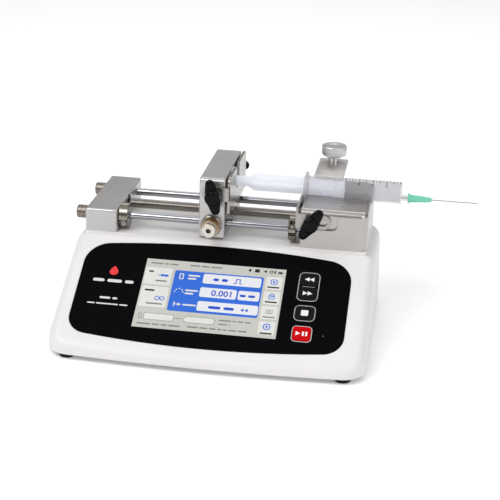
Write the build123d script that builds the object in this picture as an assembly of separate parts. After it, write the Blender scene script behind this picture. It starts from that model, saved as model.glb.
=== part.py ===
from build123d import *
import math
import os

# Syringe pump: a white console with a sloping touch panel, and on its deck the rods, the
# lead screw, the pusher and the block that holds a loaded 10 mL syringe.
# Millimetres. +Z is up, the panel faces -Y, and the syringe points along +X.
# The origin is on the table, under the middle of the console.

# ---- console ---------------------------------------------------------------------------
FOOT_HEIGHT = 4.5
FOOT_RADIUS = 6.2
HOUSING_HALF_WIDTH = 118.75      # at the bottom edge
HOUSING_FRONT_Y = -90.5
HOUSING_REAR_Y = 91.0
HOUSING_BOW = 5.5                # how far the front edge's middle stands proud of its ends
HOUSING_CORNER = 18.0            # plan radius of the four upright corners
HOUSING_DRAFT = 1.5              # degrees that the side walls lean in
HOUSING_SHOULDER = 9.0           # radius between the walls and the top and face
WALL = 3.0
SHOULDER_Z = 66.5                # top of the rounded shoulder, foot of the raised deck
DECK_Z = 69.5
DECK_HALF_WIDTH = 110.3
DECK_FRONT_Y = 5.0
DECK_REAR_Y = 89.2
FACE_TILT = 59.5                 # degrees that the face leans back from upright
BASE_THICKNESS = 2.5
BOARD_Z = 12.0                   # underside of the circuit boards on the base

# ---- panel, measured along the face down from its top edge ------------------------------
OVERLAY_CENTRE_X = -1.7
OVERLAY_HALF_WIDTH = 103.2
OVERLAY_TOP_MIDDLE = 2.7
OVERLAY_TOP_END = 10.1
OVERLAY_BOTTOM_MIDDLE = 99.3
OVERLAY_BOTTOM_END = 92.4
OVERLAY_TOP_CORNER = 20.0
OVERLAY_BOTTOM_CORNER = 16.0
OVERLAY_SINK = 0.5
OVERLAY_PROUD = 0.3
SCREEN_CENTRE_X = -2.3
SCREEN_CENTRE_S = 52.2
SCREEN_WIDTH = 108.0
SCREEN_HEIGHT = 64.8
WINDOW_MARGIN = 1.8
KEY_CENTRE_X = 70.2
KEY_GAP = 0.2
KEY_PROUD = 0.9
KEYS = {"rewind_key": (21.7, 33.4, 13.8), "forward_key": (35.0, 46.7, 13.8),
        "stop_key": (52.9, 65.3, 13.8), "start_key": (71.6, 84.4, 13.4)}   # top, bottom, width

# ---- drive on the deck ------------------------------------------------------------------
BLOCK_FRONT_Y = 5.0
BLOCK_REAR_Y = 88.0
LEFT_BLOCK_REAR_Y = 90.6
LEFT_BLOCK = (-110.1, -84.6)
LEFT_BLOCK_TOP = 87.5
RIGHT_BLOCK = (59.0, 110.3)
RIGHT_BLOCK_TOP = 100.0
SHAFT_Z = 80.5
FRONT_ROD_Y = 16.5
REAR_ROD_Y = 74.5
ROD_RADIUS = 3.0
SCREW_Y = 45.5
SCREW_RADIUS = 3.9
JOURNAL_RADIUS = 2.96
BEARING_RADIUS = 6.5
BEARING_WIDTH = 5.0
RUNNING_GAP = 0.05

PUSHER = (-20.5, -0.5)
PUSHER_FRONT_Y = 8.0
PUSHER_REAR_Y = 89.0
PUSHER_BOTTOM = 70.6
PUSHER_TOP = 118.1
PUSHER_MID_X = (PUSHER[0] + PUSHER[1]) / 2
SHEET = 2.0                      # thickness of the bent retainer plates

# ---- syringe ----------------------------------------------------------------------------
SYRINGE_Y = 46.5
SYRINGE_Z = 105.7
BARREL_RADIUS = 8.5
BARREL_BORE = 7.5
BARREL_FLANGE = (56.75, 58.95)
BARREL_END = 133.1
TIP_DROP = 3.9                   # the Luer tip sits this far below the barrel's axis
TIP_Z = SYRINGE_Z - TIP_DROP
HUB = (137.7, 156.3)
NEEDLE_END = 192.9
THUMB_DISC = (-0.45, 1.25)
PLUNGER_HEAD = (79.7, 87.9)
PLUNGER_WIDTH = 13.8
PLUNGER_NECK_WIDTH = 8.0
PLUNGER_TAPER = 5.5
RIB = 1.8

# ---- clamp ------------------------------------------------------------------------------
CLAMP_X = 75.55
POST_Y = 82.0
POST_RADIUS = 2.95
CLAMP_WIDTH = 23.0
CLAMP_HEEL_WIDTH = 14.0
CLAMP_REAR_Y = 90.3
CLAMP_FRONT_Y = 42.5
CLAMP_THICKNESS = 2.2
CLAMP_BOTTOM = SYRINGE_Z + BARREL_RADIUS + 0.03
CLAMP_TOP = CLAMP_BOTTOM + CLAMP_THICKNESS

# ---- belt drive under the deck ----------------------------------------------------------
MOTOR_Z = 36.0
MOTOR = (40.0, 84.0)
MOTOR_SIDE = 42.3
MOTOR_SHAFT_RADIUS = 2.5
PULLEY_X = (88.5, 96.5)
BELT_X = (89.6, 95.4)
SCREW_PULLEY_RADIUS = 7.38       # 24 teeth
MOTOR_PULLEY_RADIUS = 4.84       # 16 teeth

FACE_NORMAL = (0, -math.cos(math.radians(FACE_TILT)), math.sin(math.radians(FACE_TILT)))
FACE = Plane(origin=(0, DECK_FRONT_Y, SHOULDER_Z), x_dir=(1, 0, 0), z_dir=FACE_NORMAL)


# ---- small helpers ----------------------------------------------------------------------
def block(x, y, z):
    """A box between the given (low, high) pairs."""
    size = (x[1] - x[0], y[1] - y[0], z[1] - z[0])
    centre = ((x[0] + x[1]) / 2, (y[0] + y[1]) / 2, (z[0] + z[1]) / 2)
    return Pos(*centre) * Box(*size)


def rod_x(x, y, z, radius):
    return Pos((x[0] + x[1]) / 2, y, z) * Rot(0, 90, 0) * Cylinder(radius, x[1] - x[0])


def rod_y(x, y, z, radius):
    return Pos(x, (y[0] + y[1]) / 2, z) * Rot(90, 0, 0) * Cylinder(radius, y[1] - y[0])


def rod_z(x, y, z, radius):
    return Pos(x, y, (z[0] + z[1]) / 2) * Cylinder(radius, z[1] - z[0])


def tube_x(x, y, z, outer, inner):
    return rod_x(x, y, z, outer) - rod_x((x[0] - 1, x[1] + 1), y, z, inner)


def on_face(x, s, height, width, length, radius=0.0):
    """A plate on the sloping face: s is its middle, down from the top edge of the face."""
    if radius > 0:
        outline = RectangleRounded(width, length, radius)
    else:
        outline = Rectangle(width, length)
    plate = extrude(outline, height[1] - height[0])
    return FACE * Pos(x, -s, height[0]) * plate


def slot_y(x, y, z, radius):
    """A slot cutter through Y, rounded at both ends, between the two centres in x."""
    middle = block(x, y, (z - radius, z + radius))
    return middle + rod_y(x[0], y, z, radius) + rod_y(x[1], y, z, radius)


def softened(solid, axis, radius):
    """The solid with its edges along one axis rounded."""
    return fillet(solid.edges().filter_by(axis), radius)


# ---- console ----------------------------------------------------------------------------
def plan_outline(inset):
    half = HOUSING_HALF_WIDTH - inset
    front_end = HOUSING_FRONT_Y + HOUSING_BOW + inset
    front_middle = HOUSING_FRONT_Y + inset
    rear = HOUSING_REAR_Y - inset
    front = ThreePointArc((-half, front_end), (0, front_middle), (half, front_end))
    sides = Polyline((half, front_end), (half, rear), (-half, rear), (-half, front_end))
    outline = make_face([front] + sides.edges())
    return fillet(outline.vertices(), HOUSING_CORNER - inset)


def console_body(inset, bottom):
    """The console's outer form, or with an inset the hollow inside it."""
    top = SHOULDER_Z - inset
    body = extrude(Pos(0, 0, bottom) * plan_outline(inset), top - bottom, taper=HOUSING_DRAFT)
    above_face = FACE * Pos(0, 0, 100 - inset) * Box(400, 400, 200)
    body = body - above_face
    crown = body.faces().sort_by(Axis.Z)[-1]
    slope = [f for f in body.faces() if f.normal_at().dot(Vector(*FACE_NORMAL)) > 0.999][0]
    crown_edges = crown.edges()
    slope_edges = slope.edges()
    crease_z = top - 0.01
    rim = [e for e in crown_edges if e.center().Y > DECK_FRONT_Y + inset + 1]
    rim += [e for e in slope_edges if e.center().Z < crease_z]
    return fillet(rim, HOUSING_SHOULDER - inset)


def overlay_outline(grow):
    half = OVERLAY_HALF_WIDTH + grow
    top_end = -OVERLAY_TOP_END + grow
    bottom_end = -OVERLAY_BOTTOM_END - grow
    top = ThreePointArc((-half, top_end), (0, -OVERLAY_TOP_MIDDLE + grow), (half, top_end))
    bottom = ThreePointArc((half, bottom_end), (0, -OVERLAY_BOTTOM_MIDDLE - grow),
                           (-half, bottom_end))
    right = Line((half, top_end), (half, bottom_end))
    left = Line((-half, bottom_end), (-half, top_end))
    outline = make_face([top, right, bottom, left])
    outline = fillet(outline.vertices().sort_by(Axis.Y)[2:], OVERLAY_TOP_CORNER + grow)
    return fillet(outline.vertices().sort_by(Axis.Y)[:2], OVERLAY_BOTTOM_CORNER + grow)


def overlay_plate(grow, height):
    plate = extrude(overlay_outline(grow), height[1] - height[0])
    return FACE * Pos(OVERLAY_CENTRE_X, 0, height[0]) * plate


def key_opening(name, grow, height):
    low, high, width = KEYS[name]
    length = high - low + 2 * grow
    middle = (low + high) / 2
    return on_face(KEY_CENTRE_X, middle, height, width + 2 * grow, length, 2.0 + grow)


def screen_plate(margin, height, radius=1.0):
    width = SCREEN_WIDTH + 2 * margin
    length = SCREEN_HEIGHT + 2 * margin
    return on_face(SCREEN_CENTRE_X, SCREEN_CENTRE_S, height, width, length, radius)


BASE_SCREWS = [(-104, 70), (104, 70), (-104, -30), (104, -30)]
FEET = [(-103, -77), (103, -77), (-103, 76), (103, 76)]
PANEL_HALF_WIDTH = 62.0
PANEL_TOP = 55.8
BELT_SLOT = ((87.6, 97.6), (30.0, 61.0))
LEFT_BLOCK_SCREWS = [(-97.3, 30), (-97.3, 61)]
RIGHT_BLOCK_SCREWS = [(64.5, 30), (64.5, 61), (100, 17), (100, 79)]


def housing_shell():
    outer = console_body(0, FOOT_HEIGHT)
    deck = block((-DECK_HALF_WIDTH, DECK_HALF_WIDTH), (DECK_FRONT_Y, DECK_REAR_Y),
                 (SHOULDER_Z - 6, DECK_Z))
    deck = softened(deck, Axis.Z, 2.0)
    hollow = console_body(WALL, FOOT_HEIGHT - 1)
    deck_hollow = block((-104, 104), (DECK_FRONT_Y + 6, DECK_REAR_Y - 3),
                        (SHOULDER_Z - 10, SHOULDER_Z))
    shell = outer + deck - hollow - deck_hollow
    for x, y in BASE_SCREWS:
        post = rod_z(x, y, (FOOT_HEIGHT + BASE_THICKNESS + 0.05, SHOULDER_Z + 1), 4.0) & outer
        shell += post
        shell -= rod_z(x, y, (FOOT_HEIGHT, 20), 1.45)
    for s in (15.5, 90.0):
        shell += on_face(KEY_CENTRE_X, s, (-6.5, -WALL + 0.5), 6, 4)
    shell -= overlay_plate(0.15, (-OVERLAY_SINK, 20))
    shell -= screen_plate(WINDOW_MARGIN + 1.2, (-20, 5))
    for name in KEYS:
        shell -= key_opening(name, KEY_GAP, (-5, 5))
    shell -= block(*BELT_SLOT, (50, 80))
    for x, y in LEFT_BLOCK_SCREWS + RIGHT_BLOCK_SCREWS:
        shell -= rod_z(x, y, (50, 80), 2.2)
    opening = (-PANEL_HALF_WIDTH - 0.2, PANEL_HALF_WIDTH + 0.2)
    shell -= block(opening, (80, 100), (0, PANEL_TOP + 0.2))
    return shell


def base_plate():
    plate = extrude(Pos(0, 0, FOOT_HEIGHT) * plan_outline(WALL + 0.6), BASE_THICKNESS)
    floor = FOOT_HEIGHT + BASE_THICKNESS
    for x, y in board_posts():
        plate += rod_z(x, y, (floor - 0.5, BOARD_Z - 0.02), 2.5)
    for x, y in BASE_SCREWS:
        plate -= rod_z(x, y, (0, 20), 1.6)
        plate -= rod_z(x, y, (0, FOOT_HEIGHT + 1.7), 3.0)
    for x, y in FEET:
        plate -= rod_z(x, y, (0, 20), 2.05)
    return plate


def machine_screw(x, y, z_head, z_tip, head_radius, shank_radius, head_height):
    """A screw driven up from below: the head sits under the part it holds."""
    head = rod_z(x, y, (z_head, z_head + head_height), head_radius)
    shank = rod_z(x, y, (z_head + head_height - 0.1, z_tip), shank_radius)
    socket = Pos(x, y, z_head) * extrude(RegularPolygon(head_radius * 0.5, 6), 1.0)
    return head + shank - socket


def base_screws():
    return [machine_screw(x, y, FOOT_HEIGHT + 0.1, 17, 2.8, 1.4, 1.5) for x, y in BASE_SCREWS]


def rubber_feet():
    feet = []
    for x, y in FEET:
        pad = rod_z(x, y, (0, FOOT_HEIGHT - 0.02), FOOT_RADIUS)
        pad = chamfer(pad.edges().sort_by(Axis.Z)[0], 0.8)
        stud = rod_z(x, y, (FOOT_HEIGHT - 0.5, FOOT_HEIGHT + BASE_THICKNESS + 1.5), 2.0)
        feet.append(pad + stud)
    return feet


# ---- panel ------------------------------------------------------------------------------
def front_overlay():
    plate = overlay_plate(0, (-OVERLAY_SINK, OVERLAY_PROUD))
    plate -= screen_plate(WINDOW_MARGIN + 0.04, (-2, 2))
    for name in KEYS:
        plate -= key_opening(name, KEY_GAP, (-2, 2))
    return plate


def display_window():
    return screen_plate(WINDOW_MARGIN, (-2.4, 0.2))


def display_module():
    frame = screen_plate(4.5, (-12.0, -WALL - 0.1))
    cell = screen_plate(1.2, (-WALL - 0.2, -2.45))
    return frame + cell


def key(name):
    cap = key_opening(name, 0, (-WALL - 0.5, KEY_PROUD))
    cap = fillet(cap.faces().sort_by(Axis((0, 0, 0), FACE_NORMAL))[-1].edges(), 0.4)
    flange = key_opening(name, 0.25, (-WALL - 1.0, -WALL - 0.1))
    low, high, _ = KEYS[name]
    stem = FACE * Pos(KEY_CENTRE_X, -(low + high) / 2, -4.35) * Cylinder(2.0, 0.9)
    return cap + flange + stem


def keypad_board():
    board = on_face(KEY_CENTRE_X, 52.8, (-8.1, -6.52), 18, 80)
    for low, high, _ in KEYS.values():
        switch = FACE * Pos(KEY_CENTRE_X, -(low + high) / 2, -6.05) * Cylinder(3.0, 1.1)
        board += switch
    return board


# ---- electronics ------------------------------------------------------------------------
MAIN_BOARD = ((-60, 30), (-30, 8))
SUPPLY_BOARD = ((-100, -22), (20, 74))


def board_corners(board):
    (x0, x1), (y0, y1) = board
    return [(x, y) for x in (x0 + 4, x1 - 4) for y in (y0 + 4, y1 - 4)]


def board_posts():
    return board_corners(MAIN_BOARD) + board_corners(SUPPLY_BOARD)


def main_board():
    board = block(*MAIN_BOARD, (BOARD_Z, BOARD_Z + 1.6))
    top = BOARD_Z + 1.5
    processor = block((-30, -14), (-20, -4), (top, top + 1.8))
    driver = block((8, 20), (-18, -6), (top, top + 6))
    header = block((-50, -38), (-24, -19), (top, top + 6))
    return board + processor + driver + header


def power_supply():
    board = block(*SUPPLY_BOARD, (BOARD_Z, BOARD_Z + 1.6))
    top = BOARD_Z + 1.5
    transformer = block((-72, -46), (34, 62), (top, top + 22))
    heat_sink = block((-36, -32), (28, 66), (top, top + 24))
    capacitors = [rod_z(-88, y, (top, top + 20), 6.0) for y in (34, 50)]
    supply = board + transformer + heat_sink
    for can in capacitors:
        supply += can
    return supply


# ---- rear panel -------------------------------------------------------------------------
PANEL_Y = (88.0, 89.6)
CONNECTOR_Z = 31.0
INLET_X = -40.0
SWITCH_X = -8.0
SERIAL_X = 20.0
ROCKER_PIVOT_Y = 87.5


def rear_panel():
    plate = block((-PANEL_HALF_WIDTH, PANEL_HALF_WIDTH), PANEL_Y, (FOOT_HEIGHT + 0.2, PANEL_TOP))
    plate -= block((INLET_X - 13.7, INLET_X + 13.7), (80, 95), (CONNECTOR_Z - 10, CONNECTOR_Z + 10))
    plate -= block((SWITCH_X - 6.6, SWITCH_X + 6.6), (80, 95), (CONNECTOR_Z - 9.7, CONNECTOR_Z + 9.7))
    plate -= block((SERIAL_X - 9.7, SERIAL_X + 9.7), (80, 95), (CONNECTOR_Z - 5.2, CONNECTOR_Z + 5.2))
    for k in range(5):
        z = CONNECTOR_Z - 12 + 6 * k
        plate -= slot_y((42, 54), (80, 95), z, 1.2)
    return plate


def power_inlet():
    flange = block((INLET_X - 16, INLET_X + 16), (PANEL_Y[1] + 0.02, 91.6),
                   (CONNECTOR_Z - 12.5, CONNECTOR_Z + 12.5))
    body = block((INLET_X - 13.5, INLET_X + 13.5), (70, 90.5), (CONNECTOR_Z - 9.8, CONNECTOR_Z + 9.8))
    well = block((INLET_X - 11, INLET_X + 11), (76, 95), (CONNECTOR_Z - 7, CONNECTOR_Z + 7))
    inlet = softened(flange, Axis.Y, 2.0) + body - softened(well, Axis.Y, 3.0)
    for x, z in ((-7, -1.5), (0, 2.5), (7, -1.5)):
        inlet += block((INLET_X + x - 1, INLET_X + x + 1), (74, 86),
                       (CONNECTOR_Z + z - 2, CONNECTOR_Z + z + 2))
    return inlet


def power_switch_frame():
    bezel = block((SWITCH_X - 8, SWITCH_X + 8), (PANEL_Y[1] + 0.02, 91.2),
                  (CONNECTOR_Z - 11.5, CONNECTOR_Z + 11.5))
    body = block((SWITCH_X - 6.5, SWITCH_X + 6.5), (74, 90.5), (CONNECTOR_Z - 9.6, CONNECTOR_Z + 9.6))
    well = block((SWITCH_X - 5.2, SWITCH_X + 5.2), (81.0, 95), (CONNECTOR_Z - 9.1, CONNECTOR_Z + 9.1))
    pin = rod_x((SWITCH_X - 6, SWITCH_X + 6), ROCKER_PIVOT_Y, CONNECTOR_Z, 1.0)
    return bezel + body - well + pin


def power_rocker():
    """A curved rocker, at rest in its off position, pivoting on a pin along X."""
    tilt = 10
    face = rod_x((SWITCH_X - 4.9, SWITCH_X + 4.9), ROCKER_PIVOT_Y + 24, CONNECTOR_Z, 20.0)
    body = block((SWITCH_X - 4.9, SWITCH_X + 4.9), (ROCKER_PIVOT_Y - 3, ROCKER_PIVOT_Y + 7),
                 (CONNECTOR_Z - 8.0, CONNECTOR_Z + 8.0))
    rocker = body - face
    rocker -= rod_x((SWITCH_X - 6, SWITCH_X + 6), ROCKER_PIVOT_Y, CONNECTOR_Z, 1.0 + RUNNING_GAP)
    return rocker.rotate(Axis((0, ROCKER_PIVOT_Y, CONNECTOR_Z), (1, 0, 0)), -tilt)


def serial_connector():
    flange = block((SERIAL_X - 15.4, SERIAL_X + 15.4), (PANEL_Y[1] + 0.02, 90.4),
                   (CONNECTOR_Z - 6.2, CONNECTOR_Z + 6.2))
    shell = block((SERIAL_X - 8.5, SERIAL_X + 8.5), (80, 95.5), (CONNECTOR_Z - 4.2, CONNECTOR_Z + 4.2))
    shell = softened(shell, Axis.Y, 2.5)
    connector = softened(flange, Axis.Y, 1.5) + shell
    for k in range(5):
        connector -= rod_y(SERIAL_X - 5.6 + 2.8 * k, (91, 99), CONNECTOR_Z + 1.4, 0.55)
    for k in range(4):
        connector -= rod_y(SERIAL_X - 4.2 + 2.8 * k, (91, 99), CONNECTOR_Z - 1.4, 0.55)
    for x in (-12.5, 12.5):
        connector += rod_y(SERIAL_X + x, (90, 95), CONNECTOR_Z, 2.3)
    return connector


# ---- end blocks and shafts --------------------------------------------------------------
def left_end_block():
    solid = block(LEFT_BLOCK, (BLOCK_FRONT_Y, LEFT_BLOCK_REAR_Y), (DECK_Z, LEFT_BLOCK_TOP))
    solid = softened(solid, Axis.Z, 2.0)
    solid = fillet(solid.faces().sort_by(Axis.Z)[-1].edges(), 1.6)
    for y in (FRONT_ROD_Y, REAR_ROD_Y):
        solid -= rod_x((-120, -80), y, SHAFT_Z, ROD_RADIUS + 0.01)
    solid -= rod_x((-92.1, -80), SCREW_Y, SHAFT_Z, BEARING_RADIUS + 0.02)
    solid -= rod_x((-96, -80), SCREW_Y, SHAFT_Z, 3.6)
    for x, y in LEFT_BLOCK_SCREWS:
        solid -= rod_z(x, y, (60, 76), 2.05)
    return solid


BARREL_KNOB = (67.2, 90.2)
FLANGE_Z = (84.5, 96.5)


def syringe_groove():
    """The V that the barrel lies in, square-sided, just clear of the barrel."""
    depth_below_axis = (BARREL_RADIUS + RUNNING_GAP) * math.sqrt(2)
    side = 60.0
    vee = Pos(0, SYRINGE_Y, SYRINGE_Z - depth_below_axis) * Rot(45, 0, 0) * Box(300, side, side)
    lift = side / 2 * math.sqrt(2)
    return Pos(0, 0, lift) * vee


def right_block():
    solid = block(RIGHT_BLOCK, (BLOCK_FRONT_Y, BLOCK_REAR_Y), (DECK_Z, RIGHT_BLOCK_TOP))
    upright = solid.edges().filter_by(Axis.Z)
    solid = fillet(upright.group_by(Axis.X)[-1], 7.0)
    solid = fillet(solid.edges().group_by(Axis.Z)[-1].group_by(Axis.Y)[0], 4.5)
    solid -= syringe_groove()
    recess = block((50, 87.0), (0, BLOCK_FRONT_Y + 2.6), FLANGE_Z)
    solid -= fillet(recess.edges().filter_by(Axis.Y).group_by(Axis.X)[-1], 4.0)
    solid -= rod_y(BARREL_KNOB[0], (0, 19), BARREL_KNOB[1], 2.05)
    solid -= block((70, 102), (28, 63), (60, 90.3))
    for y in (FRONT_ROD_Y, REAR_ROD_Y):
        solid -= rod_x((50, 75), y, SHAFT_Z, ROD_RADIUS + 0.01)
    solid -= rod_x((50, 80), SCREW_Y, SHAFT_Z, 4.3)
    solid -= rod_x((64.4, 80), SCREW_Y, SHAFT_Z, BEARING_RADIUS + 0.02)
    solid -= rod_x((95, 107.2), SCREW_Y, SHAFT_Z, BEARING_RADIUS + 0.02)
    solid -= rod_z(CLAMP_X, POST_Y, (91, 110), POST_RADIUS + 0.01)
    for x, y in RIGHT_BLOCK_SCREWS:
        solid -= rod_z(x, y, (60, 76), 2.05)
    solid -= rod_z(*TOP_SCREW, (96, 110), 1.55)
    return solid


TOP_SCREW = (88.7, 19.5)


def block_screws():
    screws = [machine_screw(x, y, 62.4, 75.5, 3.5, 2.0, 4.0)
              for x, y in LEFT_BLOCK_SCREWS + RIGHT_BLOCK_SCREWS]
    plug = rod_z(*TOP_SCREW, (96.1, RIGHT_BLOCK_TOP - 0.4), 1.5)
    hexagon = Pos(*TOP_SCREW, 98.2) * extrude(RegularPolygon(0.8, 6), 3)
    return screws + [plug - hexagon]


def guide_rod(y):
    rod = rod_x((-115.5, 74), y, SHAFT_Z, ROD_RADIUS)
    return chamfer(rod.edges().filter_by(GeomType.CIRCLE), 0.4)


def rod_end_nuts():
    nuts = []
    for y in (FRONT_ROD_Y, REAR_ROD_Y):
        nut = rod_x((-119.1, LEFT_BLOCK[0] - 0.02), y, SHAFT_Z, 5.2)
        nut = fillet(nut.edges().filter_by(GeomType.CIRCLE).sort_by(Axis.X)[0], 1.4)
        nuts.append(nut - rod_x((-115.6, -100), y, SHAFT_Z, ROD_RADIUS + 0.01))
    return nuts


def screw_bearings():
    places = (-92.0, 64.5, 102.1)
    return [tube_x((x, x + BEARING_WIDTH), SCREW_Y, SHAFT_Z, BEARING_RADIUS, ROD_RADIUS)
            for x in places]


def lead_screw():
    threaded = rod_x((-84.3, 58.7), SCREW_Y, SHAFT_Z, SCREW_RADIUS)
    journals = rod_x((-95.5, 107.0), SCREW_Y, SHAFT_Z, JOURNAL_RADIUS)
    return threaded + journals


def pulley(z, radius, bore):
    """A toothed belt pulley with a flange on each side of the belt."""
    body = rod_x(PULLEY_X, SCREW_Y, z, radius)
    body += rod_x((PULLEY_X[0], PULLEY_X[0] + 1), SCREW_Y, z, radius + 1.8)
    body += rod_x((PULLEY_X[1] - 1, PULLEY_X[1]), SCREW_Y, z, radius + 1.8)
    return body - rod_x((80, 100), SCREW_Y, z, bore)


def drive_belt():
    """A closed belt round both pulleys, just clear of them."""
    def loop(grow):
        upper = Pos(SCREW_Y, SHAFT_Z) * Circle(SCREW_PULLEY_RADIUS + grow)
        lower = Pos(SCREW_Y, MOTOR_Z) * Circle(MOTOR_PULLEY_RADIUS + grow)
        return make_hull((upper + lower).edges())
    plane = Plane(origin=(BELT_X[0], 0, 0), x_dir=(0, 1, 0), z_dir=(1, 0, 0))
    width = BELT_X[1] - BELT_X[0]
    return extrude(plane * (loop(1.3) - loop(0.06)), width)


# ---- motor ------------------------------------------------------------------------------
MOTOR_HOLE = 15.5


def stepper_motor():
    half = MOTOR_SIDE / 2
    can = block(MOTOR, (SCREW_Y - half, SCREW_Y + half), (MOTOR_Z - half, MOTOR_Z + half))
    can = chamfer(can.edges().filter_by(Axis.X), 4.0)
    waist = block((MOTOR[0] + 9, MOTOR[1] - 9), (0, 100), (0, 100))
    core = waist & rod_x(MOTOR, SCREW_Y, MOTOR_Z, half + 6.5)
    can = (can - waist) + (can & core)
    can += rod_x((MOTOR[1] - 1, MOTOR[1] + 2), SCREW_Y, MOTOR_Z, 11.0)
    can -= rod_x((58, 100), SCREW_Y, MOTOR_Z, MOTOR_SHAFT_RADIUS + RUNNING_GAP)
    for dy, dz in motor_holes():
        can -= rod_x((MOTOR[1] - 5, 100), SCREW_Y + dy, MOTOR_Z + dz, 1.45)
    return can


def motor_holes():
    return [(dy, dz) for dy in (-MOTOR_HOLE, MOTOR_HOLE) for dz in (-MOTOR_HOLE, MOTOR_HOLE)]


def motor_bracket():
    plate_x = (MOTOR[1] + 0.02, MOTOR[1] + 3)
    plate = block(plate_x, (SCREW_Y - 21, SCREW_Y + 21), (14.5, 60))
    neck = block(plate_x, (34, 57), (59, SHOULDER_Z - 0.1))
    flange = block((50, plate_x[1]), (34, 57), (SHOULDER_Z - 3.1, SHOULDER_Z - 0.1))
    bracket = plate + neck + flange
    bracket -= rod_x((80, 100), SCREW_Y, MOTOR_Z, 11.1)
    for dy, dz in motor_holes():
        bracket -= rod_x((80, 100), SCREW_Y + dy, MOTOR_Z + dz, 1.6)
    return bracket


def motor_screws():
    screws = []
    for dy, dz in motor_holes():
        y = SCREW_Y + dy
        z = MOTOR_Z + dz
        screw = rod_x((80.5, 87.2), y, z, 1.4) + rod_x((87.05, 89.3), y, z, 2.6)
        screws.append(screw - rod_x((88.3, 90), y, z, 1.2))
    return screws


def motor_shaft():
    return rod_x((60, 98), SCREW_Y, MOTOR_Z, MOTOR_SHAFT_RADIUS)


# ---- stop collars -----------------------------------------------------------------------
COLLAR_RADIUS = 9.6
COLLAR_SCREW_DY = -6.2


def collar_frame(roll):
    """Turns a collar that lies with its slit forward about the front rod."""
    centre = Pos(0, FRONT_ROD_Y, SHAFT_Z)
    return centre * Rot(roll, 0, 0)


def stop_collar(x, roll):
    ring = tube_x(x, 0, 0, COLLAR_RADIUS, ROD_RADIUS + RUNNING_GAP)
    ring = chamfer(ring.edges().filter_by(GeomType.CIRCLE).group_by(SortBy.RADIUS)[-1], 0.5)
    middle = (x[0] + x[1]) / 2
    ring -= block((x[0] - 1, x[1] + 1), (-12, 0), (-0.6, 0.6))
    ring -= rod_z(middle, COLLAR_SCREW_DY, (-12, 12), 1.25)
    ring -= rod_z(middle, COLLAR_SCREW_DY, (3.5, 12), 2.3)
    return collar_frame(roll) * ring


def collar_screw(x, roll):
    middle = (x[0] + x[1]) / 2
    head = rod_z(middle, COLLAR_SCREW_DY, (3.6, 5.9), 2.2)
    shank = rod_z(middle, COLLAR_SCREW_DY, (-6.0, 3.7), 1.2)
    socket = Pos(middle, COLLAR_SCREW_DY, 4.7) * extrude(RegularPolygon(1.1, 6), 2)
    return collar_frame(roll) * (head + shank - socket)


LEFT_COLLAR = (-84.3, -76.8)
LEFT_COLLAR_ROLL = 76
RIGHT_COLLAR = (49.1, 55.2)
RIGHT_COLLAR_ROLL = 8


# ---- pusher -----------------------------------------------------------------------------
PUSHER_KNOB = (-8.5, 106.5)
SLIDE_X = (PUSHER_MID_X - 2.5, PUSHER_MID_X + 2.5)
SLIDE_FRONT_Y = 7.62
SLIDE_REAR_Y = 62.0
SLIDE_LOW_Z = 72.6
SLIDE_HIGH_Z = 88.4
RELEASE_TRAVEL = 3.0
NUT_X = (PUSHER_MID_X - 6.5, PUSHER_MID_X + 6.5)
BUTTON_RADIUS = 5.7
BUTTON_FRONT_Y = -6.3
BUSH_RADIUS = 6.4
BUSH_FRONT_Y = -0.4


def pusher_block():
    solid = block(PUSHER, (PUSHER_FRONT_Y, PUSHER_REAR_Y), (PUSHER_BOTTOM, PUSHER_TOP))
    solid = fillet(solid.edges().filter_by(Axis.X).group_by(Axis.Z)[-1], 3.0)
    solid = chamfer(solid.faces().sort_by(Axis.X)[-1].edges(), 0.5)
    solid = chamfer(solid.faces().sort_by(Axis.X)[0].edges(), 0.5)
    for y in (FRONT_ROD_Y, REAR_ROD_Y):
        solid -= rod_x((-30, 10), y, SHAFT_Z, 5.01)
    solid -= rod_x((-30, 10), SCREW_Y, SHAFT_Z, 4.7)
    solid -= block((SLIDE_X[0] - 0.1, SLIDE_X[1] + 0.1), (10.5, 30), (60, 86.6))
    solid -= block((SLIDE_X[0] - 0.1, SLIDE_X[1] + 0.1), (29, 68.5), (60, SLIDE_HIGH_Z + 0.15))
    solid -= block((NUT_X[0] - 0.3, NUT_X[1] + 0.3), (36, 60), (60, 87.0))
    solid -= rod_y(PUSHER_MID_X, (0, 10.7), SHAFT_Z, BUSH_RADIUS + 0.02)
    for y in ((0, 22), (72, 100)):
        solid -= rod_y(PUSHER_KNOB[0], y, PUSHER_KNOB[1], 2.05)
    return solid


def rod_bushings():
    spans = ((PUSHER[0] + 0.3, -13.6), (-6.9, PUSHER[1] - 0.3))
    return [tube_x(span, y, SHAFT_Z, 5.0, ROD_RADIUS + RUNNING_GAP)
            for y in (FRONT_ROD_Y, REAR_ROD_Y) for span in spans]


def release_bush():
    sleeve = rod_y(PUSHER_MID_X, (BUSH_FRONT_Y, 10.6), SHAFT_Z, BUSH_RADIUS)
    return sleeve - rod_y(PUSHER_MID_X, (-5, 20), SHAFT_Z, BUTTON_RADIUS + RUNNING_GAP)


def release_flange():
    """The ring that holds the bush at the pusher's front."""
    ring = rod_y(PUSHER_MID_X, (5.0, PUSHER_FRONT_Y - 0.02), SHAFT_Z, 8.2)
    ring = chamfer(ring.edges().filter_by(GeomType.CIRCLE).sort_by(Axis.Y)[0], 0.5)
    return ring - rod_y(PUSHER_MID_X, (0, 20), SHAFT_Z, BUSH_RADIUS + 0.02)


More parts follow.
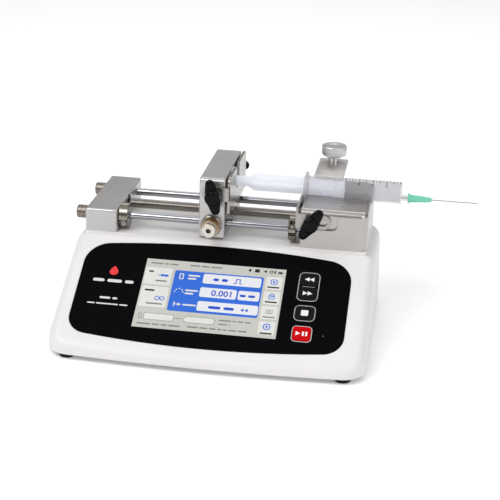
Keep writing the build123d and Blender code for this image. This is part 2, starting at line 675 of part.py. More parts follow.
def release_button():
    """A plunger that runs in the bush, with a sunk hole for its screw."""
    knob = rod_y(PUSHER_MID_X, (BUTTON_FRONT_Y, SLIDE_FRONT_Y - 0.02), SHAFT_Z, BUTTON_RADIUS)
    knob = chamfer(knob.edges().filter_by(GeomType.CIRCLE).sort_by(Axis.Y)[0], 0.4)
    knob -= rod_y(PUSHER_MID_X, (-9, 2.0), SHAFT_Z, 1.7)
    return knob - rod_y(PUSHER_MID_X, (0, 9), SHAFT_Z, 1.05)


def release_screw():
    screw = rod_y(PUSHER_MID_X, (0.3, 1.98), SHAFT_Z, 1.65)
    screw += rod_y(PUSHER_MID_X, (1.9, 9.6), SHAFT_Z, 1.0)
    return screw - rod_y(PUSHER_MID_X, (0, 1.0), SHAFT_Z, 0.8)


def release_slide():
    """A plate that passes round the front rod and the lead screw and carries the half nut."""
    tongue = block(SLIDE_X, (SLIDE_FRONT_Y, 12), (SHAFT_Z - 4, SHAFT_Z + 4))
    front = block(SLIDE_X, (10.85, 31), (SHAFT_Z - 6, SHAFT_Z + 6))
    rear = block(SLIDE_X, (30, SLIDE_REAR_Y), (SLIDE_LOW_Z, SLIDE_HIGH_Z))
    plate = tongue + front + rear
    clear = ROD_RADIUS + 0.4
    rod_window = rod_x((-20, 0), FRONT_ROD_Y, SHAFT_Z, clear)
    rod_window += rod_x((-20, 0), FRONT_ROD_Y - RELEASE_TRAVEL, SHAFT_Z, clear)
    rod_window += block((-20, 0), (FRONT_ROD_Y - RELEASE_TRAVEL, FRONT_ROD_Y),
                        (SHAFT_Z - clear, SHAFT_Z + clear))
    plate -= rod_window
    plate -= block((-20, 0), (38, 56.05), (SHAFT_Z - 6.05, SHAFT_Z + 6.05))
    plate -= rod_y(PUSHER_MID_X, (0, 9.8), SHAFT_Z, 1.05)
    plate -= rod_y(PUSHER_MID_X, (58, 70), SHAFT_Z, 2.0)
    return plate


def half_nut():
    nut = block(NUT_X, (SCREW_Y + 0.2, 56.0), (SHAFT_Z - 6, SHAFT_Z + 6))
    return nut - rod_x((-30, 10), SCREW_Y, SHAFT_Z, SCREW_RADIUS + 0.1)


def coil(radius, wire, height, turns):
    """A compression spring standing on z = 0 with its axis on Z."""
    pitch = (height - wire) / turns
    path = Helix(pitch, height - wire, radius)
    section = Plane(origin=path @ 0, z_dir=path % 0) * Circle(wire / 2)
    return Pos(0, 0, wire / 2) * sweep(section, path)


def release_spring():
    spring = coil(1.4, 0.5, 7.3, 5)
    return Pos(PUSHER_MID_X, 61.1, SHAFT_Z) * Rot(-90, 0, 0) * spring


def retainer_web_notch(x):
    """Room for a stop collar in a retainer's upright web."""
    return block(x, (6.9, 26.9), (60, SHAFT_Z + COLLAR_RADIUS + 0.6))


PLUNGER_WEB = (1.35, 3.35)
PLUNGER_FLANGE_Z = (101.0, 112.0)
FLANGE_END_X = -12.8
RETAINER_OPENING = 3.0


def plunger_retainer():
    """A bent plate that wraps the pusher and holds the thumb disc against its side."""
    inside = (PUSHER_FRONT_Y - 0.1, PUSHER_REAR_Y + 0.1)
    outside = (inside[0] - SHEET, inside[1] + SHEET)
    web = block(PLUNGER_WEB, (PUSHER_FRONT_Y + 0.3, PUSHER_REAR_Y - 0.3), (87.5, 118.9))
    web = fillet(web.edges().filter_by(Axis.X).group_by(Axis.Z)[-1], 5.0)
    wrap = block((FLANGE_END_X, PLUNGER_WEB[1]), outside, PLUNGER_FLANGE_Z)
    wrap = fillet(wrap.edges().filter_by(Axis.Z).group_by(Axis.X)[-1], 2.5)
    middle = (PLUNGER_FLANGE_Z[0] + PLUNGER_FLANGE_Z[1]) / 2
    half = (PLUNGER_FLANGE_Z[1] - PLUNGER_FLANGE_Z[0]) / 2
    wrap += rod_y(FLANGE_END_X, outside, middle, half)
    wrap -= block((-30, PLUNGER_WEB[0]), inside, (90, 130))
    slot = (PUSHER_KNOB[0] - RETAINER_OPENING - 0.3, PUSHER_KNOB[0] + 0.3)
    plate = web + wrap - slot_y(slot, (0, 100), PUSHER_KNOB[1], 2.3)
    notch_floor = SYRINGE_Z - PLUNGER_NECK_WIDTH / 2 - 0.9
    notch = block((0, 5), (SYRINGE_Y - 6.75, SYRINGE_Y + 6.75), (notch_floor, 130))
    plate -= fillet(notch.edges().filter_by(Axis.X).group_by(Axis.Z)[0], 3.0)
    return plate - retainer_web_notch((0, 5))


BARREL_WEB = (54.9, 56.7)
WING_SPAN = 28.4
WING_WIDTH = 7.2
WING_THICKNESS = 5.6
HUB_RADIUS = 6.2
HUB_PROUD = 2.2                   # how far the hub stands out in front of the wings


def barrel_retainer():
    """A bent plate on the right block that holds the barrel's finger flange."""
    web = block(BARREL_WEB, (5.5, 64), (86.5, 100.5))
    web += block(BARREL_WEB, (5.5, 7.5), FLANGE_Z)
    notch = block((50, 60), (SYRINGE_Y - 7.7, SYRINGE_Y + 7.7), (97.9, 110))
    web -= notch
    middle = (FLANGE_Z[0] + FLANGE_Z[1]) / 2
    half = (FLANGE_Z[1] - FLANGE_Z[0]) / 2 - 0.1
    flange = block((BARREL_WEB[0], 76.1), (5.5, 7.5), (middle - half, middle + half))
    flange += rod_y(76.1, (5.5, 7.5), middle, half)
    flange -= slot_y((BARREL_KNOB[0] - 0.3, 76.6), (0, 20), BARREL_KNOB[1], 2.6)
    return web + flange - retainer_web_notch((48, BARREL_FLANGE[0] + 1))


def wing_knob(lean, depth, shank):
    """A two-winged clamping knob, its foot at y = 0 and its shank along +Y."""
    hub = rod_y(0, (-depth, -1.2), 0, HUB_RADIUS)
    hub = fillet(hub.edges().filter_by(GeomType.CIRCLE).sort_by(Axis.Y)[0], 1.2)
    foot = rod_y(0, (-1.3, 0), 0, 5.0)
    tip = (WING_SPAN - WING_WIDTH) / 2
    tips = [Pos(0, side * tip) * Circle(WING_WIDTH / 2) for side in (-1, 1)]
    outline = make_hull((Circle(HUB_RADIUS) + tips).edges())
    wings = Plane.XZ * Pos(0, 0, depth - HUB_PROUD - WING_THICKNESS) * extrude(
        outline, WING_THICKNESS)
    wings = fillet(wings.faces().sort_by(Axis.Y)[0].edges(), 1.2)
    knob = hub + foot + wings + rod_y(0, (-1, shank), 0, 2.0)
    return Rot(0, lean, 0) * knob


def pusher_knob_front():
    return Pos(PUSHER_KNOB[0], 5.85, PUSHER_KNOB[1]) * wing_knob(-13, 12.5, 14.0)


def pusher_knob_rear():
    facing_back = Rot(0, 0, 180)
    foot = Pos(PUSHER_KNOB[0], PUSHER_REAR_Y + SHEET + 0.15, PUSHER_KNOB[1])
    return foot * facing_back * wing_knob(-113, 12.5, 14.0)


def barrel_knob():
    return Pos(BARREL_KNOB[0], 5.45, BARREL_KNOB[1]) * wing_knob(33, 10.5, 12.0)


# ---- clamp ------------------------------------------------------------------------------
def clamp_plate():
    """A plate over the barrel, with a narrower heel that keeps it square to the block."""
    x = (CLAMP_X - CLAMP_WIDTH / 2, CLAMP_X + CLAMP_WIDTH / 2)
    top = block(x, (CLAMP_FRONT_Y, CLAMP_REAR_Y), (CLAMP_BOTTOM, CLAMP_TOP))
    top = fillet(top.edges().filter_by(Axis.Z), 1.5)
    top = fillet(top.edges().group_by(Axis.Z)[-1], 0.5)
    x = (CLAMP_X - CLAMP_HEEL_WIDTH / 2, CLAMP_X + CLAMP_HEEL_WIDTH / 2)
    heel = block(x, (BLOCK_REAR_Y + 0.1, CLAMP_REAR_Y), (86.0, CLAMP_BOTTOM + 0.5))
    return top + heel - rod_z(CLAMP_X, POST_Y, (100, 130), POST_RADIUS + 0.3)


def clamp_post():
    post = rod_z(CLAMP_X, POST_Y, (91.1, 127.5), POST_RADIUS)
    return chamfer(post.edges().sort_by(Axis.Z)[-1], 0.5)


def clamp_spring():
    spring = coil(4.6, 0.9, CLAMP_BOTTOM - RIGHT_BLOCK_TOP - 0.1, 4)
    return Pos(CLAMP_X, POST_Y, RIGHT_BLOCK_TOP + 0.05) * spring


def clamp_knob():
    neck = rod_z(CLAMP_X, POST_Y, (CLAMP_TOP + 0.03, 122), 4.2)
    neck += rod_z(CLAMP_X, POST_Y, (119.2, 122), 5.4)
    head = rod_z(CLAMP_X, POST_Y, (121.8, 129.9), 10.0)
    head = chamfer(head.edges().sort_by(Axis.Z)[0], 1.0)
    head = chamfer(head.edges().sort_by(Axis.Z)[-1], 0.6)
    return neck + head - rod_z(CLAMP_X, POST_Y, (110, 127.8), POST_RADIUS + RUNNING_GAP)


# ---- syringe ----------------------------------------------------------------------------
def syringe_barrel():
    tube = rod_x((BARREL_FLANGE[0], BARREL_END), SYRINGE_Y, SYRINGE_Z, BARREL_RADIUS)
    tube = chamfer(tube.edges().filter_by(GeomType.CIRCLE).sort_by(Axis.X)[-1], 0.7)
    flange = rod_x(BARREL_FLANGE, SYRINGE_Y, SYRINGE_Z, 12.5)
    flange &= block((50, 60), (0, 100), (SYRINGE_Z - 9.0, SYRINGE_Z + 9.0))
    tip = Pos(BARREL_END, SYRINGE_Y, TIP_Z) * Rot(0, 90, 0) * Cone(
        2.4, 2.0, 10.6, align=(Align.CENTER, Align.CENTER, Align.MIN))
    barrel = tube + flange + tip
    barrel -= rod_x((0, BARREL_END - 1.3), SYRINGE_Y, SYRINGE_Z, BARREL_BORE)
    return barrel - rod_x((BARREL_END - 3, 160), SYRINGE_Y, TIP_Z, 0.9)


def cross_bar(x, width):
    upright = block(x, (SYRINGE_Y - RIB / 2, SYRINGE_Y + RIB / 2),
                    (SYRINGE_Z - width / 2, SYRINGE_Z + width / 2))
    level = block(x, (SYRINGE_Y - width / 2, SYRINGE_Y + width / 2),
                  (SYRINGE_Z - RIB / 2, SYRINGE_Z + RIB / 2))
    return upright + level


def plunger_rod():
    """Thumb disc, narrow ribbed neck, wide ribbed rod and a round head in the barrel."""
    disc = rod_x(THUMB_DISC, SYRINGE_Y, SYRINGE_Z, 10.8)
    neck = cross_bar((THUMB_DISC[1] - 0.2, 13), PLUNGER_NECK_WIDTH)
    bar = cross_bar((11.9, PLUNGER_HEAD[0] + 0.5), PLUNGER_WIDTH)
    gauge = Pos(11.9, SYRINGE_Y, SYRINGE_Z) * Rot(0, 90, 0) * Cone(
        PLUNGER_NECK_WIDTH / 2, PLUNGER_WIDTH / 2 + 0.6, PLUNGER_TAPER,
        align=(Align.CENTER, Align.CENTER, Align.MIN))
    gauge += rod_x((11.9 + PLUNGER_TAPER, 90), SYRINGE_Y, SYRINGE_Z, PLUNGER_WIDTH / 2 + 0.6)
    head = rod_x(PLUNGER_HEAD, SYRINGE_Y, SYRINGE_Z, BARREL_BORE - RUNNING_GAP)
    collar = rod_x((70, 71.5), SYRINGE_Y, SYRINGE_Z, PLUNGER_WIDTH / 2)
    return disc + neck + (bar & gauge) + head + collar


def needle_hub():
    start, end = HUB
    profile = Polyline((start, 0), (start, 3.9), (start + 1.3, 3.9), (start + 1.8, 3.1),
                       (end - 5, 2.3), (end - 1, 1.9), (end, 1.0), (end, 0), (start, 0))
    plane = Plane(origin=(0, SYRINGE_Y, TIP_Z), x_dir=(1, 0, 0), z_dir=(0, -1, 0))
    hub = revolve(plane * make_face(profile), Axis((0, SYRINGE_Y, TIP_Z), (1, 0, 0)))
    socket = Pos(start - 0.1, SYRINGE_Y, TIP_Z) * Rot(0, 90, 0) * Cone(
        2.4, 2.1, 8.0, align=(Align.CENTER, Align.CENTER, Align.MIN))
    return hub - socket - rod_x((start, end + 5), SYRINGE_Y, TIP_Z, 0.42)


def needle_cannula():
    tube = tube_x((HUB[0] + 10, NEEDLE_END), SYRINGE_Y, TIP_Z, 0.4, 0.22)
    lowest = Pos(NEEDLE_END, SYRINGE_Y, TIP_Z - 0.4)
    bevel = lowest * Rot(0, 15, 0) * Pos(0, 0, 1.0) * Box(12, 4, 2)
    return tube - bevel


# ---- every node, in the order that it would be put together ------------------------------
PARTS = {
    "base_plate": base_plate, "rubber_feet": rubber_feet, "base_screws": base_screws,
    "housing_shell": housing_shell, "main_board": main_board, "power_supply": power_supply,
    "rear_panel": rear_panel, "power_inlet": power_inlet,
    "power_switch_frame": power_switch_frame, "power_rocker": power_rocker,
    "serial_connector": serial_connector, "display_module": display_module,
    "display_window": display_window, "front_overlay": front_overlay,
    "keypad_board": keypad_board, "stepper_motor": stepper_motor,
    "motor_shaft": motor_shaft, "motor_bracket": motor_bracket, "motor_screws": motor_screws,
    "drive_belt": drive_belt, "left_end_block": left_end_block, "right_block": right_block,
    "block_screws": block_screws, "rod_end_nuts": rod_end_nuts,
    "screw_bearings": screw_bearings, "lead_screw": lead_screw,
    "pusher_block": pusher_block, "rod_bushings": rod_bushings,
    "release_bush": release_bush, "release_flange": release_flange,
    "release_button": release_button,
    "release_screw": release_screw, "release_slide": release_slide, "half_nut": half_nut,
    "release_spring": release_spring, "plunger_retainer": plunger_retainer,
    "barrel_retainer": barrel_retainer, "pusher_knob_front": pusher_knob_front,
    "pusher_knob_rear": pusher_knob_rear, "barrel_knob": barrel_knob,
    "clamp_post": clamp_post, "clamp_spring": clamp_spring, "clamp_plate": clamp_plate,
    "clamp_knob": clamp_knob, "syringe_barrel": syringe_barrel, "plunger_rod": plunger_rod,
    "needle_hub": needle_hub, "needle_cannula": needle_cannula,
    "guide_rod_front": lambda: guide_rod(FRONT_ROD_Y),
    "guide_rod_rear": lambda: guide_rod(REAR_ROD_Y),
    "screw_pulley": lambda: pulley(SHAFT_Z, SCREW_PULLEY_RADIUS, ROD_RADIUS),
    "motor_pulley": lambda: pulley(MOTOR_Z, MOTOR_PULLEY_RADIUS, MOTOR_SHAFT_RADIUS + 0.01),
    "stop_collar_left": lambda: stop_collar(LEFT_COLLAR, LEFT_COLLAR_ROLL),
    "collar_screw_left": lambda: collar_screw(LEFT_COLLAR, LEFT_COLLAR_ROLL),
    "stop_collar_right": lambda: stop_collar(RIGHT_COLLAR, RIGHT_COLLAR_ROLL),
    "collar_screw_right": lambda: collar_screw(RIGHT_COLLAR, RIGHT_COLLAR_ROLL),
}
for key_name in KEYS:
    PARTS[key_name] = lambda name=key_name: key(name)


def main():
    os.makedirs("parts", exist_ok=True)
    for name, make in PARTS.items():
        shape = make()
        if isinstance(shape, list):
            shape = Compound(children=shape)
        export_step(shape, f"parts/{name}.step")


main()
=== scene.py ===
import bpy
import bmesh
import math
from mathutils import Matrix, Vector


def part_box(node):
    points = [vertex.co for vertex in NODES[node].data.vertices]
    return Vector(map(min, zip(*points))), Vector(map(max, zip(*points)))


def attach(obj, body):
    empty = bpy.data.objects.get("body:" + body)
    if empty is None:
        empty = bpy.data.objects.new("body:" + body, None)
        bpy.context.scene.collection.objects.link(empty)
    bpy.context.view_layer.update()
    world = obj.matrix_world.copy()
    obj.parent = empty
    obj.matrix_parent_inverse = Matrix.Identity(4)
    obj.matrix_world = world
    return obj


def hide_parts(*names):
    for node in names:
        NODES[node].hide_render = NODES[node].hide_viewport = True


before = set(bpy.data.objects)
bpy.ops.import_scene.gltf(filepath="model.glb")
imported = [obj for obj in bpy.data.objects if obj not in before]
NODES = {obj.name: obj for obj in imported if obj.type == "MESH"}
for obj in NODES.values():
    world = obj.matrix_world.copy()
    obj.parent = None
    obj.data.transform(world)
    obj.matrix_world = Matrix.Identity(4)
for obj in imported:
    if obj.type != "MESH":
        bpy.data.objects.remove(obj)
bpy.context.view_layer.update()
MM = 0.001

# ---- sizes in millimetres, in the CAD model's frame --------------------------------------
FACE_TILT = math.radians(59.5)   # angle between the sloping face and upright
FACE_TOP_Y = 5.0
FACE_TOP_Z = 66.5
FACE_SURFACE = 0.3               # height of the overlay's front over the housing's face
SCREEN_SURFACE = 0.23            # front of the lit plate, just over the display window
SCREEN_CENTRE_X = -2.3
SCREEN_CENTRE_S = 52.2           # distance down the face from its top edge
SCREEN_SIZE = (108.0, 64.8)
LAYER = 0.03                     # thickness of each printed or lit layer
WORD_GAP = 0.8                   # gap between bars, as a share of their height
SHAFT_Z = 80.5                   # height of the lead screw and of the release button
SCREW_Y = 45.5
SCREW_PITCH = 2.0
SYRINGE_Y = 46.5
SYRINGE_Z = 105.7
BARREL_RADIUS = 8.5
FLANGE_FACE_X = 59.0             # just past the finger flange, on the needle's side

# The lit screen's shapes: centre across and down from its upper left corner, width, height
# and corner radius. The right-hand tiles are equal, so they share a size and a column.
LEFT_TILES = ((11.2, 16.2, 20.6, 16.4, 1.2), (11.4, 35.8, 20.8, 19.4, 1.2))
TIME_FIELDS = ((18.6, 54.3, 22.0, 5.4, 0.8), (49.3, 54.2, 23.0, 5.2, 2.6))
BLUE_PANEL = (57.8, 28.3, 68.5, 38.4, 1.6)
VALUE_FIELDS = ((68.2, 14.9, 44.5, 9.1, 1.6), (59.4, 27.8, 28.0, 9.0, 1.6),
                (82.8, 27.9, 16.2, 8.8, 1.6), (68.5, 40.8, 46.0, 9.0, 1.6))
SIDE_U = 100.1
SIDE_ROWS = (13.9, 27.8, 41.7, 55.7)
SIDE_TILE = (12.4, 12.2, 1.4)
SIDE_WORDS_U = 95.4

# The keys on the sloping face: their shared x, and centres down from the face's top edge.
KEY_U = 70.2
REWIND_V = 27.6
PAIR_V = 34.2                    # middle of the line round the rewind and forward keys
FORWARD_V = 40.8
STOP_V = 59.1
START_V = 78.0
KEY_HEIGHT = 0.9                 # height of the keys' fronts over the housing's face

# The view: angles in degrees, focal length in millimetres, and aim and distance in metres.
VIEW_AZIMUTH = 7.92
VIEW_ELEVATION = 20.83
VIEW_ROLL = 1.89
FOCAL_LENGTH = 100.29
VIEW_AIM = (0.02342, -0.015, 0.07146)
VIEW_DISTANCE = 1.05545


# ---- materials --------------------------------------------------------------------------
def new_material(name):
    """A new node material, with its tree and its principled shader."""
    material = bpy.data.materials.new(name)
    material.use_nodes = True
    tree = material.node_tree
    return material, tree, tree.nodes["Principled BSDF"]


def add_noise(tree, scale, detail=3.0, stretch=(1, 1, 1)):
    """A noise texture on object coordinates, stretched along chosen axes."""
    coords = tree.nodes.new("ShaderNodeTexCoord")
    mapping = tree.nodes.new("ShaderNodeMapping")
    mapping.inputs["Scale"].default_value = stretch
    noise = tree.nodes.new("ShaderNodeTexNoise")
    noise.inputs["Scale"].default_value = scale
    noise.inputs["Detail"].default_value = detail
    tree.links.new(coords.outputs["Object"], mapping.inputs["Vector"])
    tree.links.new(mapping.outputs["Vector"], noise.inputs["Vector"])
    return noise.outputs["Fac"]


def vary(tree, factor, low, high, target):
    """Drives a number input between low and high."""
    spread = tree.nodes.new("ShaderNodeMapRange")
    spread.inputs["From Min"].default_value = 0.3
    spread.inputs["From Max"].default_value = 0.7
    spread.inputs["To Min"].default_value = low
    spread.inputs["To Max"].default_value = high
    tree.links.new(factor, spread.inputs["Value"])
    tree.links.new(spread.outputs["Result"], target)


def tint(tree, factor, dark, light, target):
    """Drives a colour input between two colours."""
    ramp = tree.nodes.new("ShaderNodeValToRGB")
    ramp.color_ramp.elements[0].position = 0.3
    ramp.color_ramp.elements[1].position = 0.7
    ramp.color_ramp.elements[0].color = (*dark, 1)
    ramp.color_ramp.elements[1].color = (*light, 1)
    tree.links.new(factor, ramp.inputs["Fac"])
    tree.links.new(ramp.outputs["Color"], target)


def bump(tree, shader, factor, distance, strength=1.0, edge=0.0):
    """Fine relief from a factor, and with an edge radius a worn, rounded look at sharp edges."""
    node = tree.nodes.new("ShaderNodeBump")
    node.inputs["Distance"].default_value = distance
    node.inputs["Strength"].default_value = strength
    tree.links.new(factor, node.inputs["Height"])
    if edge > 0:
        round_edge = tree.nodes.new("ShaderNodeBevel")
        round_edge.samples = 4
        round_edge.inputs["Radius"].default_value = edge * MM
        tree.links.new(round_edge.outputs["Normal"], node.inputs["Normal"])
    tree.links.new(node.outputs["Normal"], shader.inputs["Normal"])


def shade(colour, amount):
    """The same colour, darker or lighter."""
    return tuple(min(1.0, max(0.0, c * amount)) for c in colour)


def plastic(name, colour, rough, grain=900.0, relief=0.00001, edge=0.4, gloss=0.4):
    """Moulded plastic: fine spark-eroded grain, slightly uneven gloss and tone."""
    material, tree, shader = new_material(name)
    fine = add_noise(tree, grain, 2.0)
    broad = add_noise(tree, 14.0, 4.0)
    tint(tree, broad, shade(colour, 0.97), shade(colour, 1.02), shader.inputs["Base Color"])
    vary(tree, broad, rough * 0.9, rough * 1.12, shader.inputs["Roughness"])
    shader.inputs["Specular IOR Level"].default_value = gloss
    bump(tree, shader, fine, relief, 0.5, edge)
    return material


def metal(name, colour, rough, grain=600.0, stretch=(1, 1, 1), relief=0.000006, edge=0.35):
    """Metal with a grain, stretched for a brushed or turned finish, and cloudy gloss."""
    material, tree, shader = new_material(name)
    shader.inputs["Metallic"].default_value = 1.0
    fine = add_noise(tree, grain, 3.0, stretch)
    broad = add_noise(tree, 22.0, 4.0)
    tint(tree, broad, shade(colour, 0.94), shade(colour, 1.05), shader.inputs["Base Color"])
    vary(tree, fine, rough * 0.75, rough * 1.3, shader.inputs["Roughness"])
    bump(tree, shader, fine, relief, 0.6, edge)
    return material


def lit(name, colour, strength):
    """A lit part of the screen, with the faint grid of its pixels, under smooth plastic."""
    material, tree, shader = new_material(name)
    coords = tree.nodes.new("ShaderNodeTexCoord")
    grid = tree.nodes.new("ShaderNodeTexChecker")
    grid.inputs["Scale"].default_value = 4000.0
    grid.inputs["Color1"].default_value = (*shade(colour, 0.97), 1)
    grid.inputs["Color2"].default_value = (*colour, 1)
    tree.links.new(coords.outputs["Object"], grid.inputs["Vector"])
    tree.links.new(grid.outputs["Color"], shader.inputs["Emission Color"])
    shader.inputs["Emission Strength"].default_value = strength
    tint(tree, add_noise(tree, 30.0), shade(colour, 0.20), shade(colour, 0.24),
         shader.inputs["Base Color"])
    shader.inputs["Roughness"].default_value = 0.4
    shader.inputs["Specular IOR Level"].default_value = 0.06
    return material


def ink(name, colour):
    """Screen-printed ink with a slightly uneven film."""
    rough = 0.4
    material, tree, shader = new_material(name)
    film = add_noise(tree, 700.0, 2.0)
    tint(tree, film, shade(colour, 0.92), shade(colour, 1.03), shader.inputs["Base Color"])
    vary(tree, film, rough * 0.85, rough * 1.15, shader.inputs["Roughness"])
    return material


def along_syringe(tree, values, target):
    """Drives a number input with one value up to the finger flange and another beyond it."""
    place = tree.nodes.new("ShaderNodeNewGeometry")
    axes = tree.nodes.new("ShaderNodeSeparateXYZ")
    step = tree.nodes.new("ShaderNodeMapRange")
    step.inputs["From Min"].default_value = FLANGE_FACE_X * MM
    step.inputs["From Max"].default_value = (FLANGE_FACE_X + 2) * MM
    step.inputs["To Min"].default_value = values[0]
    step.inputs["To Max"].default_value = values[1]
    tree.links.new(place.outputs["Position"], axes.inputs["Vector"])
    tree.links.new(axes.outputs["X"], step.inputs["Value"])
    tree.links.new(step.outputs["Result"], target)


def translucent(name, colour, rough, clear, milky, painted_light):
    """Thin polypropylene, part clear and part milky, with mould flow streaks and a faint glow of
    painted light, though the plastic is no lamp. The clear share and the painted glow each have a
    value up to the finger flange and one beyond it."""
    material, tree, shader = new_material(name)
    streaks = add_noise(tree, 120.0, 3.0, (0.15, 1, 1))
    tint(tree, streaks, shade(colour, 0.96), shade(colour, 1.03), shader.inputs["Base Color"])
    vary(tree, streaks, rough * 0.8, rough * 1.25, shader.inputs["Roughness"])
    shader.inputs["IOR"].default_value = 1.45
    shader.inputs["Emission Color"].default_value = (*colour, 1)
    # Painted light: the plastic glows a little, though it is no lamp.
    along_syringe(tree, painted_light, shader.inputs["Emission Strength"])
    bump(tree, shader, streaks, 0.00001, 0.4)
    see_through = tree.nodes.new("ShaderNodeBsdfTransparent")
    see_through.inputs["Color"].default_value = (0.92, 0.915, 0.925, 1)
    scatter = tree.nodes.new("ShaderNodeBsdfTranslucent")
    scatter.inputs["Color"].default_value = (*colour, 1)
    body = tree.nodes.new("ShaderNodeMixShader")
    body.inputs["Fac"].default_value = milky
    final = tree.nodes.new("ShaderNodeMixShader")
    along_syringe(tree, clear, final.inputs["Fac"])
    output = tree.nodes["Material Output"]
    tree.links.new(shader.outputs["BSDF"], body.inputs[1])
    tree.links.new(scatter.outputs["BSDF"], body.inputs[2])
    tree.links.new(body.outputs["Shader"], final.inputs[1])
    tree.links.new(see_through.outputs["BSDF"], final.inputs[2])
    tree.links.new(final.outputs["Shader"], output.inputs["Surface"])
    return material


WHITE_PLASTIC = plastic("white_plastic", (0.72, 0.705, 0.695), rough=0.40, grain=1200.0,
                        relief=0.000012, edge=0.8, gloss=0.35)
FILM_BLACK = plastic("film_black", (0.002, 0.002, 0.0025), rough=0.45, grain=2500.0,
                     relief=0.000004, edge=0.2, gloss=0.02)
KEY_BLACK = plastic("key_black", (0.006, 0.006, 0.007), rough=0.45, grain=2500.0,
                    relief=0.000006, edge=0.2, gloss=0.08)
KEY_RED = plastic("key_red", (0.50, 0.001, 0.003), rough=0.42, grain=2500.0, relief=0.000004,
                  edge=0.2, gloss=0.05)
KNOB_BLACK = plastic("knob_black", (0.003, 0.003, 0.0035), rough=0.20, grain=1500.0,
                     relief=0.00002, edge=0.0, gloss=0.10)
DARK_PLASTIC = plastic("dark_plastic", (0.02, 0.02, 0.02), rough=0.5, grain=1200.0,
                       relief=0.00002, edge=0.3, gloss=0.3)
RUBBER = plastic("rubber", (0.010, 0.010, 0.010), rough=0.75, grain=1500.0, relief=0.00003,
                 edge=0.3, gloss=0.2)
BOARD_GREEN = plastic("board_green", (0.03, 0.16, 0.08), rough=0.35, grain=1500.0,
                      relief=0.000005, edge=0.1)
GREY_PAINT = plastic("grey_paint", (0.42, 0.42, 0.43), rough=0.45, grain=2200.0, relief=0.00002,
                     edge=0.3)
# Each syringe material glows a little: painted light.
MINT_PLASTIC = translucent("mint_plastic", (0.30, 0.78, 0.62), rough=0.25, clear=(0.12, 0.12),
                           milky=0.45, painted_light=(0.05, 0.05))
BLOCK_METAL = metal("block_metal", (0.52, 0.51, 0.50), rough=0.36, grain=2600.0, relief=0.00001,
                    edge=0.5)
RIGHT_METAL = metal("right_metal", (0.46, 0.44, 0.425), rough=0.29, grain=2600.0, relief=0.00001,
                    edge=0.5)
PLATE_METAL = metal("plate_metal", (0.68, 0.66, 0.64), rough=0.34, grain=1800.0,
                    stretch=(1, 1, 0.2), relief=0.000008, edge=0.5)
CLAMP_METAL = metal("clamp_metal", (0.62, 0.62, 0.62), rough=0.32, grain=1800.0,
                    stretch=(1, 1, 0.2), relief=0.000008, edge=0.4)
SHEET_METAL = metal("sheet_metal", (0.38, 0.36, 0.335), rough=0.27, grain=1600.0,
                    stretch=(1, 0.12, 1), edge=0.3)
CHROME = metal("chrome", (0.40, 0.41, 0.43), rough=0.12, grain=900.0, stretch=(0.1, 1, 1),
               relief=0.000002, edge=0.0)
NUT_METAL = metal("nut_metal", (0.22, 0.195, 0.17), rough=0.36, grain=1500.0,
                  stretch=(1, 0.2, 0.2), relief=0.000004, edge=0.4)
NICKEL = metal("nickel", (0.26, 0.235, 0.205), rough=0.17, grain=1500.0, stretch=(1, 0.2, 0.2),
               relief=0.000004, edge=0.3)
WARM_STEEL = metal("warm_steel", (0.62, 0.58, 0.53), rough=0.28, grain=1500.0, edge=0.2)
BRASS = metal("brass", (0.60, 0.40, 0.20), rough=0.25, grain=1500.0, stretch=(1, 0.2, 1),
              relief=0.000005, edge=0.2)
SCREW_METAL = metal("screw_metal", (0.30, 0.275, 0.25), rough=0.20, grain=900.0, relief=0.000004,
                    edge=0.0)
STEEL = metal("steel", (0.46, 0.455, 0.45), rough=0.30, grain=1500.0, edge=0.2)
SYRINGE_CLEAR = translucent("syringe_clear", (0.62, 0.62, 0.63), rough=0.14, clear=(0.40, 0.80),
                            milky=0.35, painted_light=(0.08, 0.08))
# The plunger glows brighter beyond the finger flange: painted light for the part inside the barrel,
# which the barrel and the clamp shade.
SYRINGE_MILKY = translucent("syringe_milky", (0.84, 0.855, 0.89), rough=0.28, clear=(0.18, 0.18),
                            milky=0.40, painted_light=(0.28, 0.50))
SCALE_INK = ink("scale_ink", (0.03, 0.03, 0.035))
PANEL_INK = ink("panel_ink", (0.62, 0.62, 0.62))
LINE_INK = ink("line_ink", (0.34, 0.34, 0.34))
LAMP_INK = ink("lamp_ink", (0.05, 0.045, 0.045))
MARK_INK = ink("mark_ink", (0.70, 0.02, 0.02))
ICON_INK = ink("icon_ink", (0.80, 0.80, 0.80))
SCREEN_BACK = lit("screen_back", (0.66, 0.655, 0.61), strength=0.64)
SCREEN_TILE = lit("screen_tile", (0.78, 0.78, 0.75), strength=0.74)
SCREEN_WHITE = lit("screen_white", (0.77, 0.78, 0.82), strength=0.82)
SCREEN_BLUE = lit("screen_blue", (0.045, 0.17, 0.74), strength=0.70)
SCREEN_NAVY = lit("screen_navy", (0.03, 0.09, 0.55), strength=0.80)
SCREEN_GREY = lit("screen_grey", (0.26, 0.26, 0.25), strength=0.7)
SCREEN_DARK = lit("screen_dark", (0.03, 0.03, 0.03), strength=0.7)

